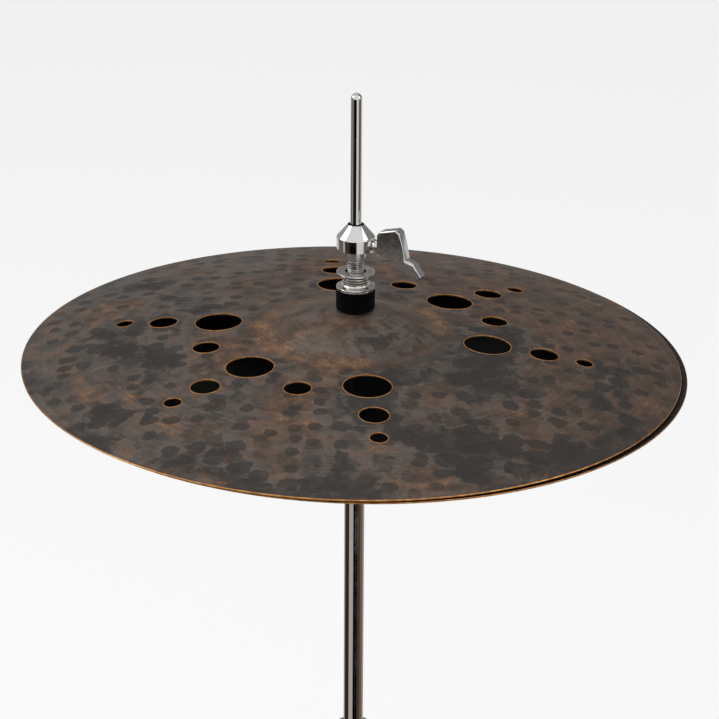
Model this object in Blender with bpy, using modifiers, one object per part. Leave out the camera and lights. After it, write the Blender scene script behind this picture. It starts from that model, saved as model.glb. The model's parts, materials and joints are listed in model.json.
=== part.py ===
"""A complete hi-hat: two cymbals, clutch, pull rod, telescopic stand, pedal and folding tripod.

Metres, +Z up. The origin is on the floor, under the axis of the pull rod. The pedal's heel is
towards -Y. Heights of the cymbals and of the clutch are counted from the top cymbal's rim.
"""
import math

import bmesh
import bpy
from mathutils import Matrix, Vector

MM = 0.001
GAP = 0.3 * MM

# Cymbals
RIM_Z = 850 * MM
CYMBAL_R = 203.2 * MM
CYMBAL_T = 1.0 * MM
BOW_HEIGHT = 20.15 * MM
BOW_POWER = 2.29
BELL_R = 56 * MM
BELL_HEIGHT = 14.0 * MM
BELL_FLAT_R = 12 * MM
MOUNT_HOLE_R = 7.2 * MM
CYMBAL_RINGS = [14 * MM, 32 * MM, 46 * MM, 56 * MM, 110 * MM, 160 * MM, CYMBAL_R]
CYMBAL_STEPS = 48
TILT = math.radians(1.04)
TOP_APEX_X = -1.6 * MM
TOP_APEX_Y = 0.25 * MM
BOTTOM_RIM_CENTRE = Vector((1.7 * MM, 1.3 * MM, -1.97 * MM))

# Sound holes of the top cymbal: (distance of the centre, radius) for each size
LARGE_HOLE = (84.1 * MM, 14.4 * MM)
MIDDLE_HOLE = (119.1 * MM, 8.8 * MM)
SMALL_HOLE = (144.0 * MM, 5.2 * MM)
BETWEEN_HOLE = (92.8 * MM, 8.1 * MM)
ARM_STEP = math.radians(-52.7)
FIRST_ARMS = (math.radians(-83.7), math.radians(95.4))

# Pull rod and clutch
ROD_R = 3.5 * MM
ROD_TOP = RIM_Z + 171.1 * MM
ROD_SPLIT = 362 * MM
ROD_BOTTOM = 86 * MM
BORE_R = ROD_R + GAP
CLUTCH_WING_Z = RIM_Z + 77 * MM
CLUTCH_WING_AZIMUTH = math.radians(-30)

# Stand tubes
BASE_TUBE_R = 12.7 * MM
BASE_TUBE_BORE = 11.1 * MM
BASE_TUBE_BOTTOM = 112.3 * MM
BASE_TUBE_TOP = 575 * MM
UPPER_TUBE_R = 6.35 * MM
UPPER_TUBE_BORE = 5.15 * MM
UPPER_TUBE_BOTTOM = 330 * MM
UPPER_TUBE_TOP = RIM_Z - 58.3 * MM
CLAMP_Z = 558.5 * MM
CLAMP_BOLT_X = 30 * MM

# Pedal
PLATE_T = 4 * MM
HINGE = Vector((0, -280 * MM, 32 * MM))
TOE = Vector((0, 0, 56 * MM))
PEDAL_LENGTH = (TOE - HINGE).length
PEDAL_ANGLE = math.atan2(TOE.z - HINGE.z, TOE.y - HINGE.y)
PIN_R = 3 * MM

# Tripod
LEG_AZIMUTHS = tuple(math.radians(degrees) for degrees in (90, 210, 330))
PIVOT_R = 35 * MM
LEG_PIVOT_Z = 385 * MM
BRACE_PIVOT_Z = 148 * MM
FOOT_R = 12 * MM
FOOT_CENTRE_R = 290 * MM
BRACE_ON_LEG = 235 * MM
COLLAR_WING_AZIMUTH = math.radians(30)

UP = Vector((0, 0, 1))
TILTED_UP = Vector((math.sin(TILT), 0, math.cos(TILT)))

FINISHES = {
    # name: (colour, roughness, metallic)
    "bronze": ((0.105, 0.083, 0.070), 0.42, 0.9),
    "chrome": ((0.62, 0.62, 0.63), 0.08, 1.0),
    "steel": ((0.42, 0.42, 0.43), 0.3, 1.0),
    "black_paint": ((0.02, 0.02, 0.022), 0.4, 0.0),
    "felt": ((0.012, 0.012, 0.013), 0.95, 0.0),
    "nylon": ((0.03, 0.03, 0.03), 0.5, 0.0),
    "rubber": ((0.02, 0.02, 0.02), 0.8, 0.0),
}


def clear_scene():
    """Remove every object that the file holds."""
    for obj in list(bpy.data.objects):
        bpy.data.objects.remove(obj, do_unlink=True)


def new_collection(name):
    """Return a new collection, linked to the scene."""
    collection = bpy.data.collections.new(name)
    bpy.context.scene.collection.children.link(collection)
    return collection


def new_material(name):
    """Return a Principled material for one of the named finishes."""
    colour, roughness, metallic = FINISHES[name]
    mat = bpy.data.materials.new(name)
    mat.use_nodes = True
    shader = mat.node_tree.nodes["Principled BSDF"]
    shader.inputs["Base Color"].default_value = (*colour, 1.0)
    shader.inputs["Roughness"].default_value = roughness
    shader.inputs["Metallic"].default_value = metallic
    return mat


class Builder:
    """Makes the objects, and keeps the collections and the bodies' empties."""

    def __init__(self):
        self.parts = new_collection("hi_hat")
        self.cutters = new_collection("cutters")
        self.pivots = {}

    def pivot(self, name, at=(0, 0, 0)):
        """Add the empty that a moving body turns or slides about."""
        empty = bpy.data.objects.new(name, None)
        empty.location = at
        empty.empty_display_size = 0.02
        self.parts.objects.link(empty)
        self.pivots[name] = empty

    def add(self, name, mesh, finish=None, body=None, matrix=None):
        """Add a part, or a cutter when no finish is given."""
        obj = bpy.data.objects.new(name, mesh)
        obj.matrix_world = matrix or Matrix.Identity(4)
        if finish is None:
            obj.hide_render = True
            obj.display_type = "WIRE"
            self.cutters.objects.link(obj)
            return obj
        mesh.materials.append(new_material(finish))
        obj.active_material.name = name
        self.parts.objects.link(obj)
        if body is not None:
            empty = self.pivots[body]
            obj.parent = empty
            obj.matrix_parent_inverse = Matrix.Translation(empty.location).inverted()
        return obj

    def turned(self, name, profile, finish=None, body=None, matrix=None, steps=20):
        """Turn a profile of (radius, height) points about Z.

        A profile that doesn't reach the axis at its ends is closed into a ring.
        """
        mesh = bpy.data.meshes.new(name)
        points = [(radius, 0, height) for radius, height in profile]
        edges = [(i, i + 1) for i in range(len(points) - 1)]
        if profile[0][0] > 0:
            edges.append((len(points) - 1, 0))
        mesh.from_pydata(points, edges, [])
        obj = self.add(name, mesh, finish, body, matrix)
        screw = obj.modifiers.new("turn", "SCREW")
        screw.angle = 2 * math.pi
        screw.steps = steps
        screw.render_steps = steps
        screw.use_merge_vertices = True
        screw.merge_threshold = 0.00001
        return obj

    def tube(self, name, inner, outer, low, high, finish, body=None, matrix=None, steps=20):
        """Turn a plain ring or tube."""
        profile = [(inner, high), (outer, high), (outer, low), (inner, low)]
        return self.turned(name, profile, finish, body, matrix, steps)

    def boxes(self, name, boxes, finish=None, body=None):
        """Make one mesh of boxes, each (size, centre, turn about Z)."""
        shape = bmesh.new()
        for size, centre, turn in boxes:
            place = Matrix.Rotation(turn, 4, "Z") @ Matrix.Translation(centre)
            scale = Matrix.Diagonal((*size, 1))
            bmesh.ops.create_cube(shape, size=1, matrix=place @ scale)
        return self.from_bmesh(name, shape, finish, body)

    def cylinders(self, name, cylinders, finish=None, body=None, segments=12, matrix=None):
        """Make one mesh of cylinders, each (radius, one end, other end)."""
        shape = bmesh.new()
        for radius, start, end in cylinders:
            axis = Vector(end) - Vector(start)
            turn = UP.rotation_difference(axis).to_matrix().to_4x4()
            middle = Matrix.Translation((Vector(start) + Vector(end)) / 2)
            bmesh.ops.create_cone(shape, cap_ends=True, segments=segments, radius1=radius,
                                  radius2=radius, depth=axis.length, matrix=middle @ turn)
        return self.from_bmesh(name, shape, finish, body, matrix)

    def ball(self, name, radius, centre, finish=None, body=None, matrix=None):
        """Make a sphere."""
        shape = bmesh.new()
        bmesh.ops.create_uvsphere(shape, u_segments=12, v_segments=6, radius=radius,
                                  matrix=Matrix.Translation(centre))
        return self.from_bmesh(name, shape, finish, body, matrix)

    def from_bmesh(self, name, shape, finish=None, body=None, matrix=None):
        """Turn a bmesh into an object."""
        mesh = bpy.data.meshes.new(name)
        shape.to_mesh(mesh)
        shape.free()
        return self.add(name, mesh, finish, body, matrix)

    def plate(self, name, rings, thickness, finish=None, body=None, matrix=None):
        """Extrude a flat outline along Z, centred; the rings after the first are holes."""
        curve = bpy.data.curves.new(name, "CURVE")
        curve.dimensions = "2D"
        curve.fill_mode = "BOTH"
        curve.extrude = thickness / 2
        for ring in rings:
            spline = curve.splines.new("POLY")
            spline.points.add(len(ring) - 1)
            for point, (x, y) in zip(spline.points, ring):
                point.co = (x, y, 0, 1)
            spline.use_cyclic_u = True
        outline = bpy.data.objects.new(name + "_outline", curve)
        self.cutters.objects.link(outline)
        evaluated = outline.evaluated_get(bpy.context.evaluated_depsgraph_get())
        mesh = bpy.data.meshes.new_from_object(evaluated)
        bpy.data.objects.remove(outline, do_unlink=True)
        shape = bmesh.new()
        shape.from_mesh(mesh)
        bmesh.ops.remove_doubles(shape, verts=shape.verts, dist=0.00001)
        shape.to_mesh(mesh)
        shape.free()
        mesh.name = name
        return self.add(name, mesh, finish, body, matrix)


def boolean(obj, other, operation):
    """Add an exact Boolean modifier."""
    modifier = obj.modifiers.new(other.name, "BOOLEAN")
    modifier.operation = operation
    modifier.solver = "EXACT"
    modifier.object = other


def bevel(obj, width, segments=1):
    """Round a part's sharp edges."""
    modifier = obj.modifiers.new("bevel", "BEVEL")
    modifier.width = width
    modifier.segments = segments
    modifier.limit_method = "ANGLE"


def radial(azimuth):
    """Unit vector away from the rod."""
    return Vector((math.cos(azimuth), math.sin(azimuth), 0))


def tangent(azimuth):
    """Unit vector around the rod."""
    return Vector((-math.sin(azimuth), math.cos(azimuth), 0))


def axes_matrix(origin, x_axis, y_axis):
    """Placement whose local X and Y follow the two given directions."""
    z_axis = x_axis.cross(y_axis)
    turn = Matrix((x_axis, y_axis, z_axis)).transposed().to_4x4()
    return Matrix.Translation(origin) @ turn


def circle(radius, x=0.0, y=0.0, points=12):
    """Outline of a round hole."""
    return [(x + radius * math.cos(2 * math.pi * i / points),
             y + radius * math.sin(2 * math.pi * i / points)) for i in range(points)]


def stadium(half_length, radius, x=0.0, y=0.0, points=8):
    """Outline of a slot with round ends, lying along X."""
    ring = []
    for i in range(2 * points):
        angle = math.pi * (i + 0.5) / points - math.pi / 2
        side = half_length if i < points else -half_length
        ring.append((x + side + radius * math.cos(angle), y + radius * math.sin(angle)))
    return ring


def cymbal_height(radius):
    """Height of a cymbal's outer surface over its rim."""
    bow = BOW_HEIGHT * (1 - (radius / CYMBAL_R) ** BOW_POWER)
    if radius >= BELL_R:
        return bow
    inside = max(radius, BELL_FLAT_R)
    return bow + BELL_HEIGHT * (1 - (inside / BELL_R) ** 2.2) ** 1.35


def top_cymbal_place():
    """Placement of the top cymbal: local Z is its own axis, local 0 its rim plane."""
    apex = Vector((TOP_APEX_X, TOP_APEX_Y, RIM_Z + cymbal_height(0)))
    rim_centre = apex - TILTED_UP * cymbal_height(0)
    return Matrix.Translation(rim_centre) @ Matrix.Rotation(TILT, 4, "Y")


def bottom_cymbal_place():
    """Placement of the bottom cymbal, which faces down."""
    rim_centre = BOTTOM_RIM_CENTRE + Vector((0, 0, RIM_Z))
    return Matrix.Translation(rim_centre) @ Matrix.Rotation(TILT, 4, "Y")


def sound_holes():
    """(radius, x, y) of every sound hole: three arms on each side, and holes between arms."""
    holes = []
    for first in FIRST_ARMS:
        for arm in range(3):
            azimuth = first + arm * ARM_STEP
            for distance, radius in (LARGE_HOLE, MIDDLE_HOLE, SMALL_HOLE):
                holes.append((radius, distance * math.cos(azimuth), distance * math.sin(azimuth)))
        for arm in range(2):
            azimuth = first + (arm + 0.5) * ARM_STEP
            distance, radius = BETWEEN_HOLE
            holes.append((radius, distance * math.cos(azimuth), distance * math.sin(azimuth)))
    return holes


def build_cymbals(make):
    """The two cymbals; only the top one has sound holes."""
    radii = [MOUNT_HOLE_R] + CYMBAL_RINGS
    upper = [(r, cymbal_height(r)) for r in radii]
    lower = [(r, cymbal_height(r) - CYMBAL_T) for r in reversed(radii)]
    place = top_cymbal_place()
    top = make.turned("top_cymbal", upper + lower, "bronze", "top_cymbal_pivot", place,
                      CYMBAL_STEPS)
    cutters = [(radius, (x, y, -5 * MM), (x, y, 40 * MM)) for radius, x, y in sound_holes()]
    holes = make.cylinders("sound_holes", cutters, matrix=place)
    boolean(top, holes, "DIFFERENCE")
    inner = [(r, -cymbal_height(r)) for r in radii]
    outer = [(r, -cymbal_height(r) - CYMBAL_T) for r in reversed(radii)]
    make.turned("bottom_cymbal", inner + outer, "bronze", "bottom_cymbal_pivot",
                bottom_cymbal_place(), CYMBAL_STEPS)


def at_rim(profile):
    """Shift a profile given in millimetres over the rim plane to world metres."""
    return [(radius * MM, RIM_Z + height * MM) for radius, height in profile]


def wing_bolt(make, name, finish, body, at, azimuth, tip, ball_at, outline, thickness=8 * MM):
    """A wing bolt along a level radial line: shank, ball and a flat wing, in one piece."""
    place = Matrix.Translation(at) @ Matrix.Rotation(azimuth, 4, "Z")
    shank = make.cylinders(name, [(2.5 * MM, (tip, 0, 0), (ball_at, 0, 0))], finish, body,
                           matrix=place)
    ball = make.ball(name + "_ball", 3.7 * MM, (ball_at, 0, 0), matrix=place)
    upright = place @ Matrix.Rotation(math.pi / 2, 4, "X")
    wing = make.plate(name + "_wing", [outline], thickness, matrix=upright)
    bevel(wing, 1.2 * MM)
    boolean(shank, ball, "UNION")
    boolean(shank, wing, "UNION")
    return shank


def clutch_wing_outline():
    """S-shaped wing: one lobe up near the hub, one lobe down farther out."""
    near, mid, far = 16.5 * MM, 31 * MM, 47 * MM
    return [
        (near, -2.5 * MM), (near + MM, -4.6 * MM), (26 * MM, -4.8 * MM), (mid, -11 * MM),
        (far - 2 * MM, -16 * MM), (far, -13.6 * MM), (42 * MM, -6.5 * MM), (36 * MM, -4.8 * MM),
        (34.6 * MM, 3 * MM), (mid + MM, 12 * MM), (29.5 * MM, 13.8 * MM),
        (near + 1.6 * MM, 10.8 * MM), (near, 8.4 * MM),
    ]


def butterfly_outline(root):
    """Two equal lobes, starting at the given distance from the bolt's origin."""
    upper = [(root, 5 * MM), (root + 5 * MM, 13 * MM), (root + 17 * MM, 15 * MM),
             (root + 20 * MM, 11 * MM), (root + 9 * MM, 4 * MM)]
    return upper + [(x, -z) for x, z in reversed(upper)]


def build_clutch(make):
    """Everything that the wing bolt holds on the rod."""
    body = make.turned("clutch_body", at_rim([
        (4.9, 88.9), (11.85, 81), (11.85, 73), (6.65, 73), (6.65, 65.8), (5.5, 65.8),
        (5.5, 71.8), (3.8, 71.8), (3.8, 87.4)]), "chrome", "clutch_pivot")
    out = radial(CLUTCH_WING_AZIMUTH)
    at = Vector((0, 0, CLUTCH_WING_Z))
    hole = make.cylinders("clutch_wing_hole", [(2.9 * MM, at, at + out * 20 * MM)])
    boolean(body, hole, "DIFFERENCE")
    wing_bolt(make, "clutch_wing_bolt", "chrome", "clutch_wing_pivot", at, CLUTCH_WING_AZIMUTH,
              4.1 * MM, 15.2 * MM, clutch_wing_outline())
    make.turned("clutch_tube", at_rim([
        (3.8, 71.5), (5.2, 71.5), (5.2, 12), (3.8, 12)]), "steel", "clutch_pivot", steps=24)
    make.turned("upper_lock_nut", at_rim([
        (6.4, 58.4), (11.75, 58.4), (11.75, 57.1), (8.0, 57.1), (8.0, 53.6), (5.5, 53.6),
        (5.5, 56.6)]), "steel", "upper_nut_pivot")
    make.turned("lower_lock_nut", at_rim([
        (5.5, 53.3), (8.0, 53.3), (8.6, 51.2), (8.6, 49.4), (11.8, 49.0), (11.8, 48.2),
        (5.5, 48.2)]), "steel", "lower_nut_pivot")
    make.turned("clutch_washer", at_rim([
        (5.5, 47.9), (11.8, 47.9), (11.8, 47.2), (5.5, 47.2)]), "steel", "clutch_pivot")
    make.turned("upper_felt", at_rim([
        (5.5, 46.9), (12, 46.9), (12, 34.15), (5.5, 34.15)]), "felt", "clutch_pivot")
    make.turned("lower_felt", at_rim([
        (5.5, 31.9), (12, 31.9), (12, 25.9), (5.5, 25.9)]), "felt", "clutch_pivot")
    make.turned("bottom_nut", at_rim([
        (5.5, 25.6), (11, 25.6), (11, 15.6), (5.5, 15.6)]), "steel", "bottom_nut_pivot", steps=12)


def build_rod(make):
    """The pull rod in two lengths, its spring, and the link down to the footboard."""
    dome = [(0, ROD_TOP), (0.5 * ROD_R, ROD_TOP - 0.5 * MM), (0.85 * ROD_R, ROD_TOP - 1.7 * MM),
            (ROD_R, ROD_TOP - 3.5 * MM)]
    make.turned("pull_rod", dome + [(ROD_R, ROD_SPLIT), (0, ROD_SPLIT)], "chrome", "rod_pivot",
                steps=24)
    make.turned("lower_rod", [(0, ROD_SPLIT - GAP), (ROD_R, ROD_SPLIT - GAP),
                              (ROD_R, ROD_BOTTOM), (0, ROD_BOTTOM)], "steel", "rod_pivot",
                steps=16)
    make.tube("rod_coupler", BORE_R, 4.8 * MM, ROD_SPLIT - 17 * MM, ROD_SPLIT + 16 * MM, "steel",
              "rod_pivot", steps=16)
    make.tube("spring_perch", BORE_R, 9.5 * MM, 208 * MM, 213 * MM, "steel", "rod_pivot")
    build_spring(make)
    clevis = make.turned("rod_clevis", [
        (BORE_R, 97 * MM), (8 * MM, 97 * MM), (8 * MM, 77 * MM), (BORE_R, 77 * MM)],
        "steel", "rod_pivot", steps=24)
    fork = make.boxes("clevis_fork", [((6.6 * MM, 20 * MM, 12 * MM), (0, 0, 79.5 * MM), 0)])
    boolean(clevis, fork, "DIFFERENCE")
    pin_holes = make.cylinders("clevis_pin_hole", [
        (2.3 * MM, (-10 * MM, 0, 81 * MM), (10 * MM, 0, 81 * MM))])
    boolean(clevis, pin_holes, "DIFFERENCE")
    make.cylinders("link_pin", [(2 * MM, (-8.5 * MM, 0, 81 * MM), (8.5 * MM, 0, 81 * MM))],
                   "steel", "rod_pivot")
    link_place = axes_matrix(Vector((0, 0, 0)), Vector((0, 1, 0)), UP)
    link_ring = [(-5 * MM, 84.8 * MM), (5 * MM, 84.8 * MM), (6 * MM, 70 * MM), (8 * MM, 62 * MM),
                 (8 * MM, 50 * MM), (4 * MM, 46 * MM), (-8 * MM, 46 * MM), (-12 * MM, 50 * MM),
                 (-12 * MM, 62 * MM), (-6 * MM, 70 * MM)]
    link_ring.reverse()
    eye = stadium(2.7 * MM, PIN_R + 0.4 * MM, -2.1 * MM, TOE.z)
    pin_eye = circle(2.3 * MM, 0, 81 * MM)
    make.plate("pull_link", [link_ring, eye, pin_eye], 6 * MM, "steel", "rod_pivot", link_place)


def build_spring(make):
    """The compression spring that lifts the rod."""
    coil_r, wire_r = 8 * MM, 0.8 * MM
    low, high, turns, per_turn = 134.1 * MM, 206.9 * MM, 7, 10
    curve = bpy.data.curves.new("return_spring", "CURVE")
    curve.dimensions = "3D"
    curve.bevel_depth = wire_r
    curve.bevel_resolution = 1
    curve.use_fill_caps = True
    spline = curve.splines.new("POLY")
    count = turns * per_turn
    spline.points.add(count)
    for i, point in enumerate(spline.points):
        angle = 2 * math.pi * i / per_turn
        height = low + (high - low) * i / count
        point.co = (coil_r * math.cos(angle), coil_r * math.sin(angle), height, 1)
    curve.materials.append(new_material("steel"))
    spring = bpy.data.objects.new("return_spring", curve)
    make.parts.objects.link(spring)
    spring.parent = make.pivots["rod_pivot"]


def build_tubes(make):
    """The two stand tubes, the clamp between them, and the lock ring over the clamp."""
    make.tube("base_tube", BASE_TUBE_BORE, BASE_TUBE_R, BASE_TUBE_BOTTOM, BASE_TUBE_TOP, "chrome",
              steps=24)
    make.tube("spring_seat", 4.2 * MM, BASE_TUBE_BORE - GAP, 129.5 * MM, 133 * MM, "steel",
              steps=24)
    bush_r = UPPER_TUBE_R + GAP
    make.turned("tube_bushing", [
        (bush_r, BASE_TUBE_TOP + 4 * MM), (BASE_TUBE_R, BASE_TUBE_TOP + 4 * MM),
        (BASE_TUBE_R, BASE_TUBE_TOP + GAP), (BASE_TUBE_BORE - GAP, BASE_TUBE_TOP + GAP),
        (BASE_TUBE_BORE - GAP, BASE_TUBE_TOP - 40 * MM), (bush_r, BASE_TUBE_TOP - 40 * MM)],
        "nylon", steps=24)
    clamp = make.tube("tube_clamp", BASE_TUBE_R + GAP, 18 * MM, CLAMP_Z - 13.5 * MM,
                      CLAMP_Z + 13.5 * MM, "chrome")
    ear = make.boxes("clamp_ear", [((25 * MM, 22 * MM, 19 * MM), (28 * MM, 0, CLAMP_Z), 0)])
    bevel(ear, 2 * MM)
    boolean(clamp, ear, "UNION")
    slot = make.boxes("clamp_slot", [((40 * MM, 3 * MM, 40 * MM), (30 * MM, 0, CLAMP_Z), 0)])
    boolean(clamp, slot, "DIFFERENCE")
    inside = make.cylinders("clamp_inside", [
        (BASE_TUBE_R + GAP, (0, 0, CLAMP_Z - 20 * MM), (0, 0, CLAMP_Z + 20 * MM))], segments=24)
    boolean(clamp, inside, "DIFFERENCE")
    bolt = Vector((CLAMP_BOLT_X, 0, CLAMP_Z))
    side = Vector((0, 1, 0))
    hole = make.cylinders("clamp_bolt_hole", [
        (2.8 * MM, bolt - side * 20 * MM, bolt + side * 20 * MM)])
    boolean(clamp, hole, "DIFFERENCE")
    wing_bolt(make, "clamp_wing_bolt", "chrome", "clamp_wing_pivot", bolt, math.radians(-90),
              -17.5 * MM, 15.2 * MM, butterfly_outline(16 * MM), 6 * MM)
    nut_place = axes_matrix(bolt, Vector((1, 0, 0)), Vector((0, 0, -1)))
    make.tube("clamp_nut", 3.3 * MM, 6.5 * MM, 11.4 * MM, 16.4 * MM, "steel", None, nut_place, 6)
    make.tube("upper_tube", UPPER_TUBE_BORE, UPPER_TUBE_R, UPPER_TUBE_BOTTOM, UPPER_TUBE_TOP,
              "chrome", "height_pivot", steps=24)
    lock_low = BASE_TUBE_TOP + 4.3 * MM
    lock = make.tube("memory_lock", bush_r, 12 * MM, lock_low, lock_low + 12 * MM, "chrome",
                     "height_pivot")
    lock_z = lock_low + 6 * MM
    bolt_hole = make.cylinders("lock_bolt_hole", [
        (2.3 * MM, (0, 0, lock_z), (0, 20 * MM, lock_z))])
    boolean(lock, bolt_hole, "DIFFERENCE")
    make.cylinders("memory_lock_bolt", [
        (2 * MM, (0, UPPER_TUBE_R + GAP, lock_z), (0, 18 * MM, lock_z))], "steel",
        "height_pivot")


def build_seat(make):
    """The bottom cymbal's seat on top of the upper tube, with its tilt screw."""
    base = make.turned("seat_base", at_rim([
        (4.6, -54), (22, -54), (22, -57), (11, -57), (11, -78), (6.65, -78), (6.65, -58),
        (4.6, -58)]), "chrome", "height_pivot")
    screw_x = 17.5 * MM
    hole = make.cylinders("tilt_screw_hole", [
        (2.4 * MM, (screw_x, 0, RIM_Z - 60 * MM), (screw_x, 0, RIM_Z - 50 * MM))])
    boolean(base, hole, "DIFFERENCE")
    felt_top = RIM_Z - 36.75 * MM
    place = Matrix.Translation((0, 0, felt_top)) @ Matrix.Rotation(TILT, 4, "Y")
    make.tube("seat_felt", 5.6 * MM, 22 * MM, -6 * MM, 0, "felt", "height_pivot", place)
    make.tube("seat_cup", 5.5 * MM, 24 * MM, -10.3 * MM, -6.3 * MM, "chrome", "height_pivot",
              place)
    make.tube("seat_sleeve", 3.9 * MM, 5.2 * MM, -10 * MM, 8 * MM, "nylon", "height_pivot",
              place, 24)
    make.cylinders("seat_hinge_pin", [
        (2.9 * MM, (-15 * MM, -10 * MM, RIM_Z - 50.45 * MM),
         (-15 * MM, 10 * MM, RIM_Z - 50.45 * MM))], "steel", "height_pivot", 16)
    screw = Matrix.Translation((screw_x, 0, RIM_Z))
    make.turned("tilt_screw", [
        (0, -48.2 * MM), (2.1 * MM, -48.2 * MM), (2.1 * MM, -67 * MM), (6 * MM, -67 * MM),
        (6 * MM, -74 * MM), (0, -74 * MM)], "steel", "tilt_screw_pivot", screw, 16)


def build_pedal(make):
    """Base plate, heel plate, yoke over the toe, and the footboard with its pins."""
    plate_ring = [(-48 * MM, -345 * MM), (48 * MM, -345 * MM), (50 * MM, -60 * MM),
                  (58 * MM, -30 * MM), (58 * MM, 26 * MM), (50 * MM, 34 * MM),
                  (-50 * MM, 34 * MM), (-58 * MM, 26 * MM), (-58 * MM, -30 * MM),
                  (-50 * MM, -60 * MM)]
    make.plate("base_plate", [plate_ring], PLATE_T, "black_paint", None,
               Matrix.Translation((0, 0, PLATE_T / 2)))
    low = PLATE_T + GAP
    heel = make.boxes("heel_plate", [
        ((88 * MM, 50 * MM, 24 * MM), (0, -317 * MM, low + 12 * MM), 0)], "black_paint")
    ears = make.boxes("heel_ears", [
        ((8 * MM, 36 * MM, 36 * MM), (side * 40 * MM, -286 * MM, low + 18 * MM), 0)
        for side in (-1, 1)])
    bevel(ears, 3 * MM)
    boolean(heel, ears, "UNION")
    across = Vector((60 * MM, 0, 0))
    ear_holes = make.cylinders("heel_pin_hole", [(PIN_R + GAP, HINGE - across, HINGE + across)])
    boolean(heel, ear_holes, "DIFFERENCE")
    half_pin = Vector((45 * MM, 0, 0))
    make.cylinders("hinge_pin", [(PIN_R, HINGE - half_pin, HINGE + half_pin)], "steel")
    build_yoke(make, low)
    build_footboard(make)


def build_yoke(make, low):
    """The cast arch that stands over the footboard's toe and holds the base tube."""
    upright = axes_matrix(Vector((0, 0, 0)), Vector((1, 0, 0)), UP)
    out, inside, shoulder, top = 52 * MM, 40 * MM, 96 * MM, 118 * MM
    ring = [(-out, low), (-inside, low), (-inside, shoulder - 12 * MM),
            (-inside + 12 * MM, shoulder), (inside - 12 * MM, shoulder),
            (inside, shoulder - 12 * MM), (inside, low), (out, low), (out, top - 16 * MM),
            (out - 16 * MM, top), (16 * MM - out, top), (-out, top - 16 * MM)]
    yoke = make.plate("frame_yoke", [ring], 36 * MM, "black_paint", None, upright)
    hub = make.cylinders("yoke_hub", [(22 * MM, (0, 0, 98 * MM), (0, 0, 130 * MM))], segments=24)
    boolean(yoke, hub, "UNION")
    ledge = BASE_TUBE_BOTTOM - GAP
    bores = make.cylinders("yoke_bore", [
        (BASE_TUBE_R + GAP, (0, 0, ledge), (0, 0, 140 * MM))], segments=24)
    boolean(yoke, bores, "DIFFERENCE")
    way = make.cylinders("yoke_way", [(11.5 * MM, (0, 0, 80 * MM), (0, 0, 140 * MM))], segments=24)
    boolean(yoke, way, "DIFFERENCE")


def build_footboard(make):
    """The footboard: a slotted plate, a hinge barrel at the heel and two ears at the toe."""
    along = Vector((0, math.cos(PEDAL_ANGLE), math.sin(PEDAL_ANGLE)))
    place = axes_matrix(HINGE, Vector((1, 0, 0)), along)
    end = PEDAL_LENGTH - 18 * MM
    stations = 8
    right = []
    for i in range(stations + 1):
        share = i / stations
        half_width = (34 + 11 * math.sin(math.pi * share ** 0.8) - 14 * share ** 3) * MM
        right.append((half_width, 4 * MM + (end - 4 * MM) * share))
    ring = right + [(-x, y) for x, y in reversed(right)]
    slots = [stadium(15 * MM, 3 * MM, 0, (70 + 26 * i) * MM, 4) for i in range(6)]
    board = make.plate("footboard", [ring] + slots, 5 * MM, "chrome", "pedal_pivot", place)
    barrel_half = 35.5 * MM
    barrel = make.cylinders("footboard_barrel", [
        (7 * MM, (-barrel_half, 0, 0), (barrel_half, 0, 0))], segments=16, matrix=place)
    boolean(board, barrel, "UNION")
    ears = make.boxes("toe_ears", [
        ((6 * MM, 34 * MM, 14 * MM), (side * 12 * MM, PEDAL_LENGTH - 9 * MM, 0), 0)
        for side in (-1, 1)])
    ears.matrix_world = place
    bevel(ears, 2 * MM)
    boolean(board, ears, "UNION")
    holes = make.cylinders("footboard_pin_holes", [
        (PIN_R + GAP, (-50 * MM, 0, 0), (50 * MM, 0, 0)),
        (PIN_R + GAP, (-50 * MM, PEDAL_LENGTH, 0), (50 * MM, PEDAL_LENGTH, 0))], matrix=place)
    boolean(board, holes, "DIFFERENCE")
    half_pin = Vector((16.5 * MM, 0, 0))
    make.cylinders("toe_pin", [(PIN_R, TOE - half_pin, TOE + half_pin)], "steel", "pedal_pivot")


def collar(make, name, body, z, half_height, outer, ears, pin_hole):
    """A sleeve on the base tube with a pair of ears for each leg."""
    near, far, start = ears
    sleeve = make.tube(name, BASE_TUBE_R + GAP, outer, z - half_height, z + half_height, "chrome",
                       body)
    tip = PIVOT_R + 8 * MM
    boxes = []
    pins = []
    for azimuth in LEG_AZIMUTHS:
        for side in (-1, 1):
            size = (tip - start, far - near, 2 * half_height - 5 * MM)
            centre = ((tip + start) / 2, side * (near + far) / 2, z)
            boxes.append((size, centre, azimuth))
        pivot = radial(azimuth) * PIVOT_R + UP * z
        reach = tangent(azimuth) * 15 * MM
        pins.append((pin_hole, pivot - reach, pivot + reach))
    ear_blocks = make.boxes(name + "_ears", boxes)
    boolean(sleeve, ear_blocks, "UNION")
    holes = make.cylinders(name + "_pin_holes", pins)
    boolean(sleeve, holes, "DIFFERENCE")
    return sleeve


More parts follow.
